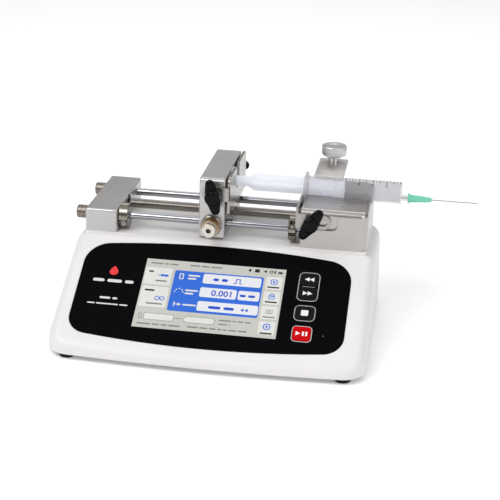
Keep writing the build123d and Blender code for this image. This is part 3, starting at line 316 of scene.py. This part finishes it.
NODE_MATERIALS = {
    "housing_shell": WHITE_PLASTIC, "base_plate": GREY_PAINT, "rubber_feet": RUBBER,
    "front_overlay": FILM_BLACK, "display_window": FILM_BLACK, "display_module": DARK_PLASTIC,
    "keypad_board": BOARD_GREEN, "main_board": BOARD_GREEN, "power_supply": BOARD_GREEN,
    "rear_panel": GREY_PAINT, "power_inlet": DARK_PLASTIC, "power_switch_frame": DARK_PLASTIC,
    "power_rocker": DARK_PLASTIC, "serial_connector": STEEL, "rewind_key": KEY_BLACK,
    "forward_key": KEY_BLACK, "stop_key": KEY_BLACK, "start_key": KEY_RED,
    "left_end_block": BLOCK_METAL, "right_block": RIGHT_METAL, "pusher_block": BLOCK_METAL,
    "guide_rod_front": CHROME, "guide_rod_rear": CHROME, "rod_end_nuts": NUT_METAL,
    "stop_collar_left": NICKEL, "stop_collar_right": NICKEL, "collar_screw_left": STEEL,
    "collar_screw_right": STEEL, "plunger_retainer": SHEET_METAL,
    "barrel_retainer": SHEET_METAL, "release_bush": BRASS, "release_flange": NICKEL,
    "release_screw": STEEL,
    "rod_bushings": BRASS, "half_nut": BRASS, "release_slide": STEEL,
    "release_spring": STEEL, "clamp_spring": STEEL, "clamp_plate": PLATE_METAL,
    "clamp_knob": CLAMP_METAL, "clamp_post": STEEL, "syringe_barrel": SYRINGE_CLEAR,
    "plunger_rod": SYRINGE_MILKY, "needle_hub": MINT_PLASTIC, "needle_cannula": CHROME,
    "lead_screw": SCREW_METAL, "screw_pulley": BLOCK_METAL, "motor_pulley": BLOCK_METAL,
    "motor_shaft": STEEL, "stepper_motor": DARK_PLASTIC, "motor_bracket": STEEL,
    "motor_screws": STEEL, "block_screws": STEEL, "base_screws": STEEL,
    "screw_bearings": STEEL, "drive_belt": RUBBER, "release_button": WARM_STEEL,
    "pusher_knob_front": KNOB_BLACK, "pusher_knob_rear": KNOB_BLACK,
    "barrel_knob": KNOB_BLACK,
}


def dress_nodes():
    """Gives every carried-over CAD node its material."""
    for name, node in NODES.items():
        node.data.materials.clear()
        node.data.materials.append(NODE_MATERIALS[name])


# ---- mesh helpers -----------------------------------------------------------------------
def add_piece(name, mesh, material, body, smooth=None):
    """Puts a mesh in the scene as a piece that rides on a CAD body."""
    mesh.materials.append(material)
    piece = bpy.data.objects.new(name, mesh)
    bpy.context.scene.collection.objects.link(piece)
    if smooth is not None:
        for polygon in mesh.polygons:
            polygon.use_smooth = True
        mesh.set_sharp_from_angle(angle=math.radians(smooth))
    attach(piece, body)
    return piece


def mesh_from(name, vertices, faces):
    """A mesh from points in millimetres, welded and with its faces turned outward."""
    mesh = bpy.data.meshes.new(name)
    mesh.from_pydata([Vector(v) * MM for v in vertices], [], faces)
    shape = bmesh.new()
    shape.from_mesh(mesh)
    bmesh.ops.remove_doubles(shape, verts=shape.verts, dist=0.0000001)
    bmesh.ops.recalc_face_normals(shape, faces=shape.faces)
    bmesh.ops.triangulate(shape, faces=[f for f in shape.faces if len(f.verts) > 4])
    shape.to_mesh(mesh)
    shape.free()
    return mesh


def skin(name, rings, closed_ends=True):
    """A closed skin through equal rings of points, ended with a fan or joined to a loop."""
    count = len(rings[0])
    vertices = [point for ring in rings for point in ring]
    faces = []
    for i in range(len(rings) - 1):
        for j in range(count):
            k = (j + 1) % count
            faces.append((i * count + j, i * count + k, (i + 1) * count + k, (i + 1) * count + j))
    if closed_ends:
        first = [sum(c) / count for c in zip(*rings[0])]
        last = [sum(c) / count for c in zip(*rings[-1])]
        vertices += [first, last]
        start = len(vertices) - 2
        end = len(vertices) - 1
        base = (len(rings) - 1) * count
        for j in range(count):
            k = (j + 1) % count
            faces.append((start, k, j))
            faces.append((end, base + j, base + k))
    return mesh_from(name, vertices, faces)


# ---- flat shapes on the sloping face ----------------------------------------------------
FIRST = (0.0, LAYER)             # the heights that each printed layer spans
SECOND = (LAYER, 2 * LAYER)
THIRD = (2 * LAYER, 3 * LAYER)


def face_point(x, s, height):
    """A point on the sloping face: s runs down from its top edge, height stands off it."""
    y = FACE_TOP_Y - s * math.sin(FACE_TILT) - height * math.cos(FACE_TILT)
    z = FACE_TOP_Z - s * math.cos(FACE_TILT) + height * math.sin(FACE_TILT)
    return (x, y, z)


def on_screen(u, v, height):
    """u and v run right and down from the lit screen's upper left corner."""
    x = SCREEN_CENTRE_X - SCREEN_SIZE[0] / 2 + u
    s = SCREEN_CENTRE_S - SCREEN_SIZE[1] / 2 + v
    return face_point(x, s, SCREEN_SURFACE + height)


def on_overlay(u, v, height):
    """u is the frame's x, and v runs down from the face's top edge."""
    return face_point(u, v, FACE_SURFACE + height)


def rounded(u, v, width, height, radius, steps=5):
    """Outline of a rounded rectangle about its centre."""
    radius = min(radius, width / 2, height / 2)
    points = []
    corners = ((1, 1, 0), (-1, 1, 90), (-1, -1, 180), (1, -1, 270))
    for across, up, start in corners:
        for i in range(steps + 1):
            angle = math.radians(start + 90 * i / steps)
            points.append((u + across * (width / 2 - radius) + radius * math.cos(angle),
                           v + up * (height / 2 - radius) + radius * math.sin(angle)))
    return points


def circle(u, v, radius, count=24):
    turns = [2 * math.pi * i / count for i in range(count)]
    return [(u + radius * math.cos(a), v + radius * math.sin(a)) for a in turns]


def triangle(u, v, width, height, direction):
    """A triangle that points left (-1) or right (1)."""
    back = u - direction * width / 2
    return [(back, v - height / 2), (back, v + height / 2), (u + direction * width / 2, v)]


class Prints:
    """Thin flat shapes gathered into one mesh, each an outline that fills a layer."""

    def __init__(self, place):
        self.place = place
        self.vertices = []
        self.faces = []

    def add(self, outline, layer=FIRST):
        count = len(outline)
        start = len(self.vertices)
        for height in layer:
            self.vertices += [self.place(u, v, height) for u, v in outline]
        self.faces.append(tuple(start + count + i for i in range(count)))
        self.faces.append(tuple(start + i for i in reversed(range(count))))
        for i in range(count):
            j = (i + 1) % count
            self.faces.append((start + i, start + j, start + count + j, start + count + i))

    def ring(self, outer, inner, layer=FIRST):
        """A closed band between two outlines with the same number of points."""
        low, high = layer
        count = len(outer)
        start = len(self.vertices)
        for outline, height in ((outer, low), (outer, high), (inner, high), (inner, low)):
            self.vertices += [self.place(u, v, height) for u, v in outline]
        for band in range(4):
            a = start + band * count
            b = start + (band + 1) % 4 * count
            for i in range(count):
                j = (i + 1) % count
                self.faces.append((a + i, a + j, b + j, b + i))

    def box_line(self, u, v, width, height, radii, line, layer=FIRST):
        """A line just inside a rounded rectangle, with its outer and inner corner radii."""
        outer = rounded(u, v, width, height, radii[0])
        inner = rounded(u, v, width - 2 * line, height - 2 * line, radii[1])
        self.ring(outer, inner, layer)

    def round_line(self, u, v, outer, inner, layer=FIRST, count=24):
        """A line between two circles."""
        self.ring(circle(u, v, outer, count), circle(u, v, inner, count), layer)

    def bars(self, u, v, widths, height, layer=FIRST):
        """A row of short bars from u rightward, standing for a line of words."""
        for width in widths:
            self.add(rounded(u + width / 2, v, width, height, height / 2, 3), layer)
            u += width + height * WORD_GAP

    def piece(self, name, material, body="console", slot="display"):
        add_piece(name, mesh_from(name, self.vertices, self.faces), material, body)


# ---- the lit screen ---------------------------------------------------------------------
def screen_base():
    """The lit area, a plate on the black display window."""
    width, height = SCREEN_SIZE
    plate = Prints(on_screen)
    plate.add(rounded(width / 2, height / 2, width, height, 0.3), (-LAYER, 0.0))
    plate.piece("screen_base", SCREEN_BACK)


def screen_panels():
    """Pale tiles at both sides, the blue panel, and the plain fields inside it."""
    tiles = Prints(on_screen)
    for tile in LEFT_TILES:
        tiles.add(rounded(*tile))
    for v in SIDE_ROWS:
        tiles.add(rounded(SIDE_U, v, *SIDE_TILE))
    for field in TIME_FIELDS:
        tiles.add(rounded(*field))
    tiles.piece("screen_tiles", SCREEN_TILE)
    panel = Prints(on_screen)
    panel.add(rounded(*BLUE_PANEL))
    panel.piece("screen_panel", SCREEN_BLUE)
    fields = Prints(on_screen)
    for field in VALUE_FIELDS:
        fields.add(rounded(*field), SECOND)
    fields.piece("screen_fields", SCREEN_WHITE)


def screen_white_marks():
    """The signs and words on the blue panel, left of its three rows of fields."""
    mode_v = 14.6
    rate_v = 29.4
    direction_v = 41.0
    words_u = 34.2
    dial_radius = 3.1
    marks = Prints(on_screen)
    marks.box_line(29.2, mode_v, 3.4, 5.6, (0.6, 0.3), 0.8, SECOND)
    for i in range(5):
        angle = math.radians(180 - 45 * i)
        u = 29.6 + dial_radius * math.cos(angle)
        v = rate_v - dial_radius * math.sin(angle)
        marks.add(circle(u, v, 0.6, 10), SECOND)
    marks.add(rounded(27.8, direction_v, 0.8, 4.4, 0.3), SECOND)
    marks.add(rounded(30.0, direction_v, 4.0, 0.8, 0.3), SECOND)
    marks.add(triangle(32.0, direction_v, 2.4, 3.2, 1), SECOND)
    for v, first, second in ((13.2, 9.2, 6.6), (27.4, 9.8, 6.8)):
        marks.bars(words_u, v, (first,), 1.5, SECOND)
        marks.bars(words_u, v + 2.9, (second,), 1.5, SECOND)
    marks.bars(words_u + 0.2, direction_v, (10.4,), 1.4, SECOND)
    marks.piece("screen_marks_white", SCREEN_TILE)


def screen_blue_marks():
    """What stands in the fields: bars for words, a square wave and two arrowheads."""
    line = 0.7
    wave_low = 17.2
    wave_middle = 15.2
    wave_high = 13.2
    wave_height = 4.7
    arrows_v = 41.4
    marks = Prints(on_screen)
    marks.bars(53.8, wave_middle, (4.4, 4.8), 2.6, THIRD)
    wave = ((70.6, wave_low, 2.0, line), (71.4, wave_middle, line, wave_height),
            (72.9, wave_high, 3.6, line), (74.4, wave_middle, line, wave_height),
            (75.2, wave_low, 2.0, line))
    for u, v, width, height in wave:
        marks.add(rounded(u, v, width, height, 0.2, 2), THIRD)
    marks.bars(54.0, arrows_v, (9.6, 8.0), 2.6, THIRD)
    for u in (79.6, 82.8):
        marks.add(triangle(u, arrows_v, 2.6, 3.2, -1), THIRD)
    marks.bars(76.0, 28.2, (4.6, 5.4), 2.2, THIRD)
    marks.piece("screen_marks_blue", SCREEN_NAVY)


def screen_blue_icons():
    """A syringe and a loop at the left, then a chip, a padlock and a wheel at the right."""
    syringe_v = 15.2
    chip_v = SIDE_ROWS[0] - 1.2
    lock_v = SIDE_ROWS[1] - 0.6
    wheel_v = SIDE_ROWS[3] - 1.2
    icons = Prints(on_screen)
    icons.add(rounded(15.4, syringe_v, 4.6, 2.0, 0.5), SECOND)
    icons.add(triangle(18.6, syringe_v, 2.2, 3.0, 1), SECOND)
    icons.add(rounded(12.2, syringe_v, 1.6, 0.9, 0.3), SECOND)
    for u in (14.3, 18.1):
        icons.round_line(u, 37.0, 2.0, 1.3, SECOND)
    icons.box_line(SIDE_U, chip_v, 5.2, 4.8, (0.8, 0.4), 0.65, SECOND)
    icons.add(rounded(SIDE_U, chip_v, 1.8, 1.6, 0.2), SECOND)
    icons.box_line(SIDE_U, lock_v, 4.6, 3.6, (0.5, 0.3), 0.6, SECOND)
    icons.round_line(SIDE_U, lock_v - 2.0, 1.8, 1.2, SECOND)
    icons.round_line(SIDE_U, wheel_v, 2.9, 2.1, SECOND)
    icons.add(circle(SIDE_U, wheel_v, 0.9, 14), SECOND)
    icons.piece("screen_icons_blue", SCREEN_BLUE)


def screen_grey_marks():
    """Small words along the top and bottom and under the tiles, and the fields' outlines."""
    third_v = SIDE_ROWS[2]
    marks = Prints(on_screen)
    marks.bars(3.5, 3.9, (9.8, 3.2, 6.6), 1.3)
    marks.bars(33.8, 3.5, (8.0, 6.4, 9.0), 1.3)
    marks.bars(9.8, 20.6, (9.2,), 1.4, SECOND)
    marks.bars(6.6, 42.3, (12.6,), 1.4, SECOND)
    marks.bars(SIDE_WORDS_U, third_v + 4.0, (9.6,), 1.2, SECOND)
    marks.box_line(SIDE_U, third_v - 1.0, 5.0, 3.8, (0.6, 0.4), 0.5, SECOND)
    marks.add(circle(SIDE_U, third_v - 1.0, 0.8, 12), SECOND)
    marks.bars(64.0, 52.4, (9.2, 2.8, 4.6, 4.6), 1.2)
    marks.bars(64.2, 56.0, (6.6, 1.2), 1.1)
    marks.bars(3.2, 61.2, (10.6, 5.6, 4.8, 8.6), 1.3)
    marks.bars(41.4, 60.8, (8.0, 6.4, 5.2, 3.0, 3.0, 6.0, 7.0), 1.3)
    for (u, v, width, height, radius), outer in zip(TIME_FIELDS, (1.1, 3.0)):
        marks.box_line(u, v, width + 0.8, height + 0.8, (outer, radius), 0.4, (0.0, 2 * LAYER))
    marks.box_line(4.6, 54.5, 2.4, 5.0, (0.5, 0.3), 0.45)
    marks.add(rounded(33.6, 54.2, 5.2, 0.6, 0.2))
    marks.piece("screen_marks_grey", SCREEN_GREY)


def screen_dark_marks():
    """The tiles' darker words, and a row of status signs at the upper right."""
    status_v = 3.3
    marks = Prints(on_screen)
    marks.bars(3.4, 12.1, (3.9,), 1.5, SECOND)
    marks.bars(3.4, 30.0, (7.8,), 1.6, SECOND)
    for v in (SIDE_ROWS[0], SIDE_ROWS[1], SIDE_ROWS[3] + 1.0):
        marks.bars(SIDE_WORDS_U, v + 3.9, (9.4,), 1.3, SECOND)
    marks.add(triangle(80.0, status_v, 2.6, 3.4, -1))
    marks.add(rounded(86.0, status_v, 3.6, 3.2, 0.5))
    marks.add(triangle(92.0, status_v, 2.4, 3.0, -1))
    marks.round_line(96.8, status_v, 1.5, 0.9, count=16)
    marks.add(rounded(99.6, status_v, 1.2, 2.6, 0.4))
    marks.add(rounded(103.8, status_v + 0.3, 3.4, 1.8, 0.6))
    marks.piece("screen_marks_dark", SCREEN_DARK)


def number_mesh(name, text, size):
    """Plain numerals as a mesh one layer thick, lying in XY and centred on the origin."""
    curve = bpy.data.curves.new(name, "FONT")
    curve.body = text
    curve.size = size * MM
    curve.extrude = LAYER / 2 * MM
    curve.offset = 0.02 * size * MM
    curve.align_x = "CENTER"
    curve.align_y = "CENTER"
    curve.resolution_u = 3
    holder = bpy.data.objects.new(name + "_curve", curve)
    bpy.context.scene.collection.objects.link(holder)
    bpy.context.view_layer.update()
    evaluated = holder.evaluated_get(bpy.context.evaluated_depsgraph_get())
    mesh = bpy.data.meshes.new_from_object(evaluated)
    mesh.name = name
    bpy.data.objects.remove(holder)
    bpy.data.curves.remove(curve)
    weld = bmesh.new()
    weld.from_mesh(mesh)
    bmesh.ops.remove_doubles(weld, verts=weld.verts, dist=0.000001)
    weld.to_mesh(mesh)
    weld.free()
    mesh.materials.clear()
    return mesh


def screen_number():
    """The flow rate in the middle field."""
    mesh = number_mesh("screen_number", "0.001", 7.6)
    centre = Vector(on_screen(62.6, 28.2, 2.5 * LAYER)) * MM
    lean = Matrix.Rotation(math.pi / 2 - FACE_TILT, 4, "X")
    mesh.transform(Matrix.Translation(centre) @ lean)
    add_piece("screen_number", mesh, SCREEN_NAVY, "console")


# ---- printed marks and keys -------------------------------------------------------------
def key_outlines():
    """A printed line round each key, or round the first two together."""
    lines = Prints(on_overlay)
    lines.box_line(KEY_U, PAIR_V, 16.0, 27.2, (4.0, 3.4), 0.7)
    lines.box_line(KEY_U, STOP_V, 16.0, 14.6, (4.0, 3.4), 0.7)
    lines.add(rounded(KEY_U, PAIR_V, 9.6, 0.4, 0.2, 2))
    lines.piece("key_outlines", LINE_INK, slot="overlay_black")
    pale = Prints(on_overlay)
    pale.box_line(KEY_U, START_V, 15.0, 14.4, (3.4, 3.0), 0.45)
    pale.piece("start_outline", PANEL_INK, slot="overlay_black")


def key_icon(key, shapes):
    """The printed sign on a key, which moves with it."""
    height = KEY_HEIGHT - FACE_SURFACE
    sign = Prints(on_overlay)
    for shape in shapes:
        sign.add(shape, (height, height + LAYER))
    sign.piece(key + "_icon", ICON_INK, key, "key_grey")


def key_icons():
    """Double arrowheads, a square, and the play and pause signs."""
    for key, v, direction in (("rewind_key", REWIND_V, -1), ("forward_key", FORWARD_V, 1)):
        key_icon(key, [triangle(KEY_U + shift, v, 3.6, 3.9, direction) for shift in (-1.8, 1.8)])
    key_icon("stop_key", [rounded(KEY_U, STOP_V, 5.4, 5.0, 0.5)])
    key_icon("start_key", [triangle(KEY_U - 2.7, START_V, 3.4, 4.0, 1),
                           rounded(KEY_U + 1.0, START_V, 1.4, 3.8, 0.2),
                           rounded(KEY_U + 3.5, START_V, 1.4, 3.8, 0.2)])


def drop_outline(u, v, half_width, half_height, count=40):
    """A rounded drop with its point toward the face's top edge."""
    points = []
    for i in range(count):
        angle = 2 * math.pi * i / count
        pull = 1 - 0.5 * (1 - math.cos(angle)) ** 2 / 4
        points.append((u + half_width * math.sin(angle) * pull ** 1.6,
                       v + half_height * math.cos(angle)))
    return points


def panel_marks():
    """A plain drop sign with pale bars below it, and a small dark lamp at the right."""
    red = Prints(on_overlay)
    red.add(drop_outline(-79.6, 34.4, 3.9, 4.3))
    red.piece("panel_sign", MARK_INK, slot="overlay_black")
    pale = Prints(on_overlay)
    pale.bars(-94.2, 44.2, (9.0, 11.4, 6.8), 2.8)
    pale.bars(-85.6, 60.6, (8.4, 3.8), 1.9)
    pale.bars(-94.0, 66.2, (5.8, 17.0, 6.4), 1.2)
    pale.piece("panel_bars", PANEL_INK, slot="overlay_black")
    lamp = Prints(on_overlay)
    lamp.add(circle(86.0, 78.3, 0.7, 16))
    lamp.piece("panel_lamp", LAMP_INK, slot="overlay_black")


# ---- turned and moulded pieces ----------------------------------------------------------
def thread_radius(x, turn, root, crest, ends):
    """Half crest and half root, with sloping flanks and rounded corners, and a run-out over
    1.5 mm at each end of the thread."""
    phase = (x / SCREW_PITCH - turn) % 1.0
    wave = abs(2 * phase - 1)
    flank = min(1.0, max(0.0, (wave - 0.32) / 0.36))
    smooth = flank * flank * (3 - 2 * flank)
    run_out = min(1.0, (x - ends[0]) / 1.5, (ends[1] - x) / 1.5)
    return root + (crest - root) * smooth * max(0.0, run_out)


def lead_screw_thread():
    """The lead screw with its real helical thread between two plain journals."""
    low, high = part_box("lead_screw")
    start = low.x / MM
    end = high.x / MM
    thread_start = -84.3
    thread_end = 58.7
    crest = 3.9
    root = 3.1
    journal = 2.96
    tip = 2.5
    bevel = 0.4
    around = 28
    step = SCREW_PITCH / 8
    rings = []

    def add_ring(x, radius_at):
        ring = []
        for j in range(around):
            angle = 2 * math.pi * j / around
            radius = radius_at(j / around)
            ring.append((x, SCREW_Y + radius * math.cos(angle), SHAFT_Z + radius * math.sin(angle)))
        rings.append(ring)

    for x, radius in ((start, tip), (start + bevel, journal), (thread_start, journal)):
        add_ring(x, lambda turn, r=radius: r)
    count = int((thread_end - thread_start) / step)
    ends = (thread_start, thread_end)
    for i in range(count + 1):
        x = thread_start + (thread_end - thread_start) * i / count
        add_ring(x, lambda turn, at=x: thread_radius(at, turn, root, crest, ends))
    for x, radius in ((thread_end, journal), (end - bevel, journal), (end, tip)):
        add_ring(x, lambda turn, r=radius: r)
    mesh = skin("lead_screw_thread", rings)
    piece = add_piece("lead_screw_thread", mesh, SCREW_METAL, "lead_screw", 50)
    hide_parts("lead_screw")


def wing_outline(angle, length, hub):
    """Distance from the knob's axis to its edge: straight flanks join a hub and two tips."""
    tip = 3.55                   # radius of each wing's round end
    turn = math.acos(min(1.0, abs(math.cos(angle))))
    reach = length - tip
    flank = math.acos((hub - tip) / reach)
    touch = math.atan2(tip * math.sin(flank), reach + tip * math.cos(flank))
    if turn > flank:
        return hub
    if turn > touch:
        return hub / math.cos(flank - turn)
    return reach * math.cos(turn) + math.sqrt(tip ** 2 - (reach * math.sin(turn)) ** 2)


def wing_knob(name, node, centre, outward, lean, shank, depth):
    """A moulded two-winged knob: a domed hub, crowned wings behind its front, and a foot.
    The profile holds shares of the outline and distances down from the hub's front."""
    around = 96
    length = 14.15
    hub = 5.9
    wing_root = 6.1              # the wings' outline is just wider than the hub
    dome_end = 0.42              # shares below this one belong to the domed hub
    profile = [(0.0, 0.0), (0.16, 0.02), (0.30, 0.12), (0.37, 0.4), (0.405, 1.0), (0.415, 2.3),
               (0.52, 2.6), (0.64, 2.7), (0.78, 2.8), (0.88, 3.05), (0.95, 3.5), (0.99, 4.1),
               (1.0, 4.8), (0.99, 6.0), (0.95, 6.9), (0.88, 7.5), (0.70, 7.7)]
    rings = []

    def add_ring(radius_at, height):
        ring = []
        for j in range(around):
            angle = 2 * math.pi * j / around
            radius = radius_at(angle)
            ring.append((radius * math.sin(angle), radius * math.cos(angle), height))
        rings.append(ring)

    for share, down in profile:
        def edge(angle, part=share):
            if part < dome_end:
                return hub * part / dome_end
            return max(hub, wing_outline(angle, length, wing_root) * part)
        add_ring(edge, depth - down)
    for radius, height in ((hub, depth - 7.8), (hub, 1.5), (hub - 0.3, 1.25), (4.95, 1.2),
                           (4.95, 0.3), (4.7, 0.02), (2.2, 0.02), (1.98, -0.2),
                           (1.98, -shank + 0.5), (1.6, -shank)):
        add_ring(lambda angle, r=radius: r, height)
    mesh = skin(name, rings)
    stand = Vector((0, 0, 1)).rotation_difference(Vector(outward)).to_matrix().to_4x4()
    turn = Matrix.Rotation(math.radians(lean), 4, outward)
    mesh.transform(Matrix.Translation(Vector(centre) * MM) @ turn @ stand)
    piece = add_piece(name, mesh, KNOB_BLACK, node, 60)
    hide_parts(node)


def wing_knobs():
    """Two knobs for the plunger's retainer, at its front and rear, and one for the barrel's."""
    front = (0, -1, 0)
    rear = (0, 1, 0)
    pusher_x = -8.5
    pusher_z = 106.5
    wing_knob("pusher_wing_front", "pusher_knob_front", (pusher_x, 5.85, pusher_z), front, 13,
              shank=14.0, depth=12.5)
    wing_knob("pusher_wing_rear", "pusher_knob_rear", (pusher_x, 91.15, pusher_z), rear, 113,
              shank=14.0, depth=12.5)
    wing_knob("barrel_wing", "barrel_knob", (67.2, 5.45, 90.2), front, -33,
              shank=12.0, depth=10.5)


def knurled_turning(name, node, body, material, centre, axis, teeth, profile):
    """A closed turning about an axis through a point. Each step of its profile is the
    distance along the axis, the radius and the depth of the straight knurling there."""
    around = 4 * teeth
    turn = Vector((0, 0, 1)).rotation_difference(Vector(axis)).to_matrix()
    rings = []
    for along, radius, cut in profile:
        ring = []
        for j in range(around):
            angle = 2 * math.pi * j / around
            r = radius - cut * (0.5 - 0.5 * math.cos(teeth * angle))
            point = turn @ Vector((r * math.cos(angle), r * math.sin(angle), along))
            ring.append(tuple(point + Vector(centre)))
        rings.append(ring)
    rings.append(rings[0])
    mesh = skin(name, rings, closed_ends=False)
    piece = add_piece(name, mesh, material, body, 40)
    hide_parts(node)


def release_button_knurled():
    """A plunger with a knurled rim at its front and a sunk screw hole."""
    profile = [(-7.6, 1.05, 0), (-2.0, 1.05, 0), (-2.0, 1.7, 0), (5.9, 1.7, 0), (6.3, 2.0, 0),
               (6.3, 5.2, 0), (5.9, 5.65, 0.2), (5.6, 5.7, 0.4), (0.8, 5.7, 0.4),
               (0.6, 5.7, 0), (-7.6, 5.7, 0)]
    knurled_turning("release_button_knurled", "release_button", "release", WARM_STEEL,
                    (-10.5, 0, SHAFT_Z), (0, -1, 0), 36, profile)


def clamp_knob_knurled():
    """The clamp's thumb nut: a plain neck under a knurled head with bevelled rims."""
    profile = [(116.46, 3.0, 0), (116.46, 4.2, 0), (119.2, 4.2, 0), (119.2, 5.2, 0),
               (119.4, 5.4, 0), (121.8, 5.4, 0), (121.8, 8.6, 0),
               (122.0, 9.0, 0), (122.7, 9.8, 0.1), (123.0, 10.0, 0.35), (129.3, 10.0, 0.35),
               (129.5, 9.8, 0.1), (129.9, 9.4, 0), (129.9, 3.6, 0),
               (129.75, 3.0, 0), (129.75, 0.02, 0), (127.8, 0.02, 0), (127.8, 3.0, 0)]
    knurled_turning("clamp_knob_knurled", "clamp_knob", "clamp_knob", CLAMP_METAL,
                    (75.55, 82.0, 0), (0, 0, 1), 48, profile)


# ---- syringe scale ----------------------------------------------------------------------
def on_barrel(u, v, height):
    """u runs along the barrel, v round it in degrees from the front to the top."""
    lift = 0.005                 # keeps the ink just clear of the wall
    radius = BARREL_RADIUS + lift + height
    angle = math.radians(v)
    return (u, SYRINGE_Y - radius * math.cos(angle), SYRINGE_Z + radius * math.sin(angle))


def barrel_scale():
    """Graduation lines at the barrel's top, one for each half millilitre, and numerals."""
    scale = Prints(on_barrel)
    zero = 131.6
    gap = 2.67
    half_line = 0.45
    numeral_v = 50               # numerals and lines are placed by degrees round the barrel
    last_v = 109
    steps = 8
    for i in range(17):
        x = zero - gap * i
        first_v = 68 if i % 2 == 0 else 78
        upper = [(x + half_line, first_v + (last_v - first_v) * k / steps)
                 for k in range(steps + 1)]
        lower = [(x - half_line, v) for _, v in reversed(upper)]
        scale.add(upper + lower)
    scale.piece("barrel_scale", SCALE_INK, slot="syringe_clear")
    for volume in (2, 4, 6):
        x = zero - 2 * gap * volume
        mesh = number_mesh(f"barrel_number_{volume}", str(volume), 3.6)
        for vertex in mesh.vertices:
            u = x + vertex.co.x / MM
            v = numeral_v + math.degrees(vertex.co.y / MM / BARREL_RADIUS)
            vertex.co = Vector(on_barrel(u, v, vertex.co.z / MM + LAYER / 2)) * MM
        add_piece(f"barrel_number_{volume}", mesh, SCALE_INK, "console")


# ---- stage ------------------------------------------------------------------------------
def pale_floor():
    """A plain floor that glows a little, so that it stays pale away from the lights."""
    bpy.ops.mesh.primitive_plane_add(size=14, location=(0, 0, 0))
    floor = bpy.context.object
    floor.name = "floor"
    material, _, shader = new_material("floor_white")
    shader.inputs["Base Color"].default_value = (0.90, 0.90, 0.90, 1)
    shader.inputs["Roughness"].default_value = 0.9
    shader.inputs["Emission Color"].default_value = (1, 1, 1, 1)
    shader.inputs["Emission Strength"].default_value = 0.16
    floor.data.materials.append(material)


def area_light(name, size, power, place):
    """A rectangular lamp, sized and placed in metres, that points at the object's middle."""
    light = bpy.data.lights.new(name, "AREA")
    light.shape = "RECTANGLE"
    light.size = size[0]
    light.size_y = size[1]
    light.energy = power
    lamp = bpy.data.objects.new(name, light)
    lamp.location = place
    aim = Vector((0.0, 0.0, 0.06)) - Vector(place)
    lamp.rotation_euler = aim.to_track_quat("-Z", "Y").to_euler()
    bpy.context.scene.collection.objects.link(lamp)


def studio_world():
    """Surroundings that are bright at the horizon and overhead, and dim between the two."""
    world = bpy.data.worlds.new("studio")
    world.use_nodes = True
    nodes = world.node_tree.nodes
    links = world.node_tree.links
    coords = nodes.new("ShaderNodeTexCoord")
    split = nodes.new("ShaderNodeSeparateXYZ")
    ramp = nodes.new("ShaderNodeValToRGB")
    ramp.color_ramp.elements[0].position = 0.0
    ramp.color_ramp.elements[0].color = (0.95, 0.95, 0.95, 1)
    ramp.color_ramp.elements[1].position = 0.9
    ramp.color_ramp.elements[1].color = (0.95, 0.96, 0.98, 1)
    dim = ramp.color_ramp.elements.new(0.32)
    dim.color = (0.17, 0.167, 0.165, 1)
    background = nodes["Background"]
    background.inputs["Strength"].default_value = 0.82
    links.new(coords.outputs["Generated"], split.inputs["Vector"])
    links.new(split.outputs["Z"], ramp.inputs["Fac"])
    links.new(ramp.outputs["Color"], background.inputs["Color"])
    bpy.context.scene.world = world


def camera():
    azimuth = math.radians(VIEW_AZIMUTH)
    elevation = math.radians(VIEW_ELEVATION)
    roll = math.radians(VIEW_ROLL)
    back = Vector((math.sin(azimuth) * math.cos(elevation),
                   -math.cos(azimuth) * math.cos(elevation), math.sin(elevation)))
    right = Vector((0, 0, 1)).cross(back).normalized()
    up = back.cross(right)
    across = math.cos(roll) * right + math.sin(roll) * up
    upward = -math.sin(roll) * right + math.cos(roll) * up
    lens = bpy.data.cameras.new("camera")
    lens.sensor_width = 36
    lens.lens = FOCAL_LENGTH
    holder = bpy.data.objects.new("camera", lens)
    turn = Matrix((across, upward, back)).transposed().to_4x4()
    place = Vector(VIEW_AIM) + back * VIEW_DISTANCE
    holder.matrix_world = Matrix.Translation(place) @ turn
    bpy.context.scene.collection.objects.link(holder)
    bpy.context.scene.camera = holder


dress_nodes()
screen_base()
screen_panels()
screen_white_marks()
screen_blue_marks()
screen_blue_icons()
screen_grey_marks()
screen_dark_marks()
screen_number()
key_outlines()
key_icons()
panel_marks()
lead_screw_thread()
wing_knobs()
release_button_knurled()
clamp_knob_knurled()
barrel_scale()
pale_floor()
area_light("key_light", (1.4, 1.0), 21, (-0.9, -0.9, 1.5))
area_light("fill_light", (1.2, 1.2), 9, (1.3, -0.9, 1.0))
area_light("rear_light", (1.6, 0.6), 6, (0.2, 1.3, 1.3))
studio_world()
camera()
bpy.context.scene.view_settings.view_transform = "Standard"
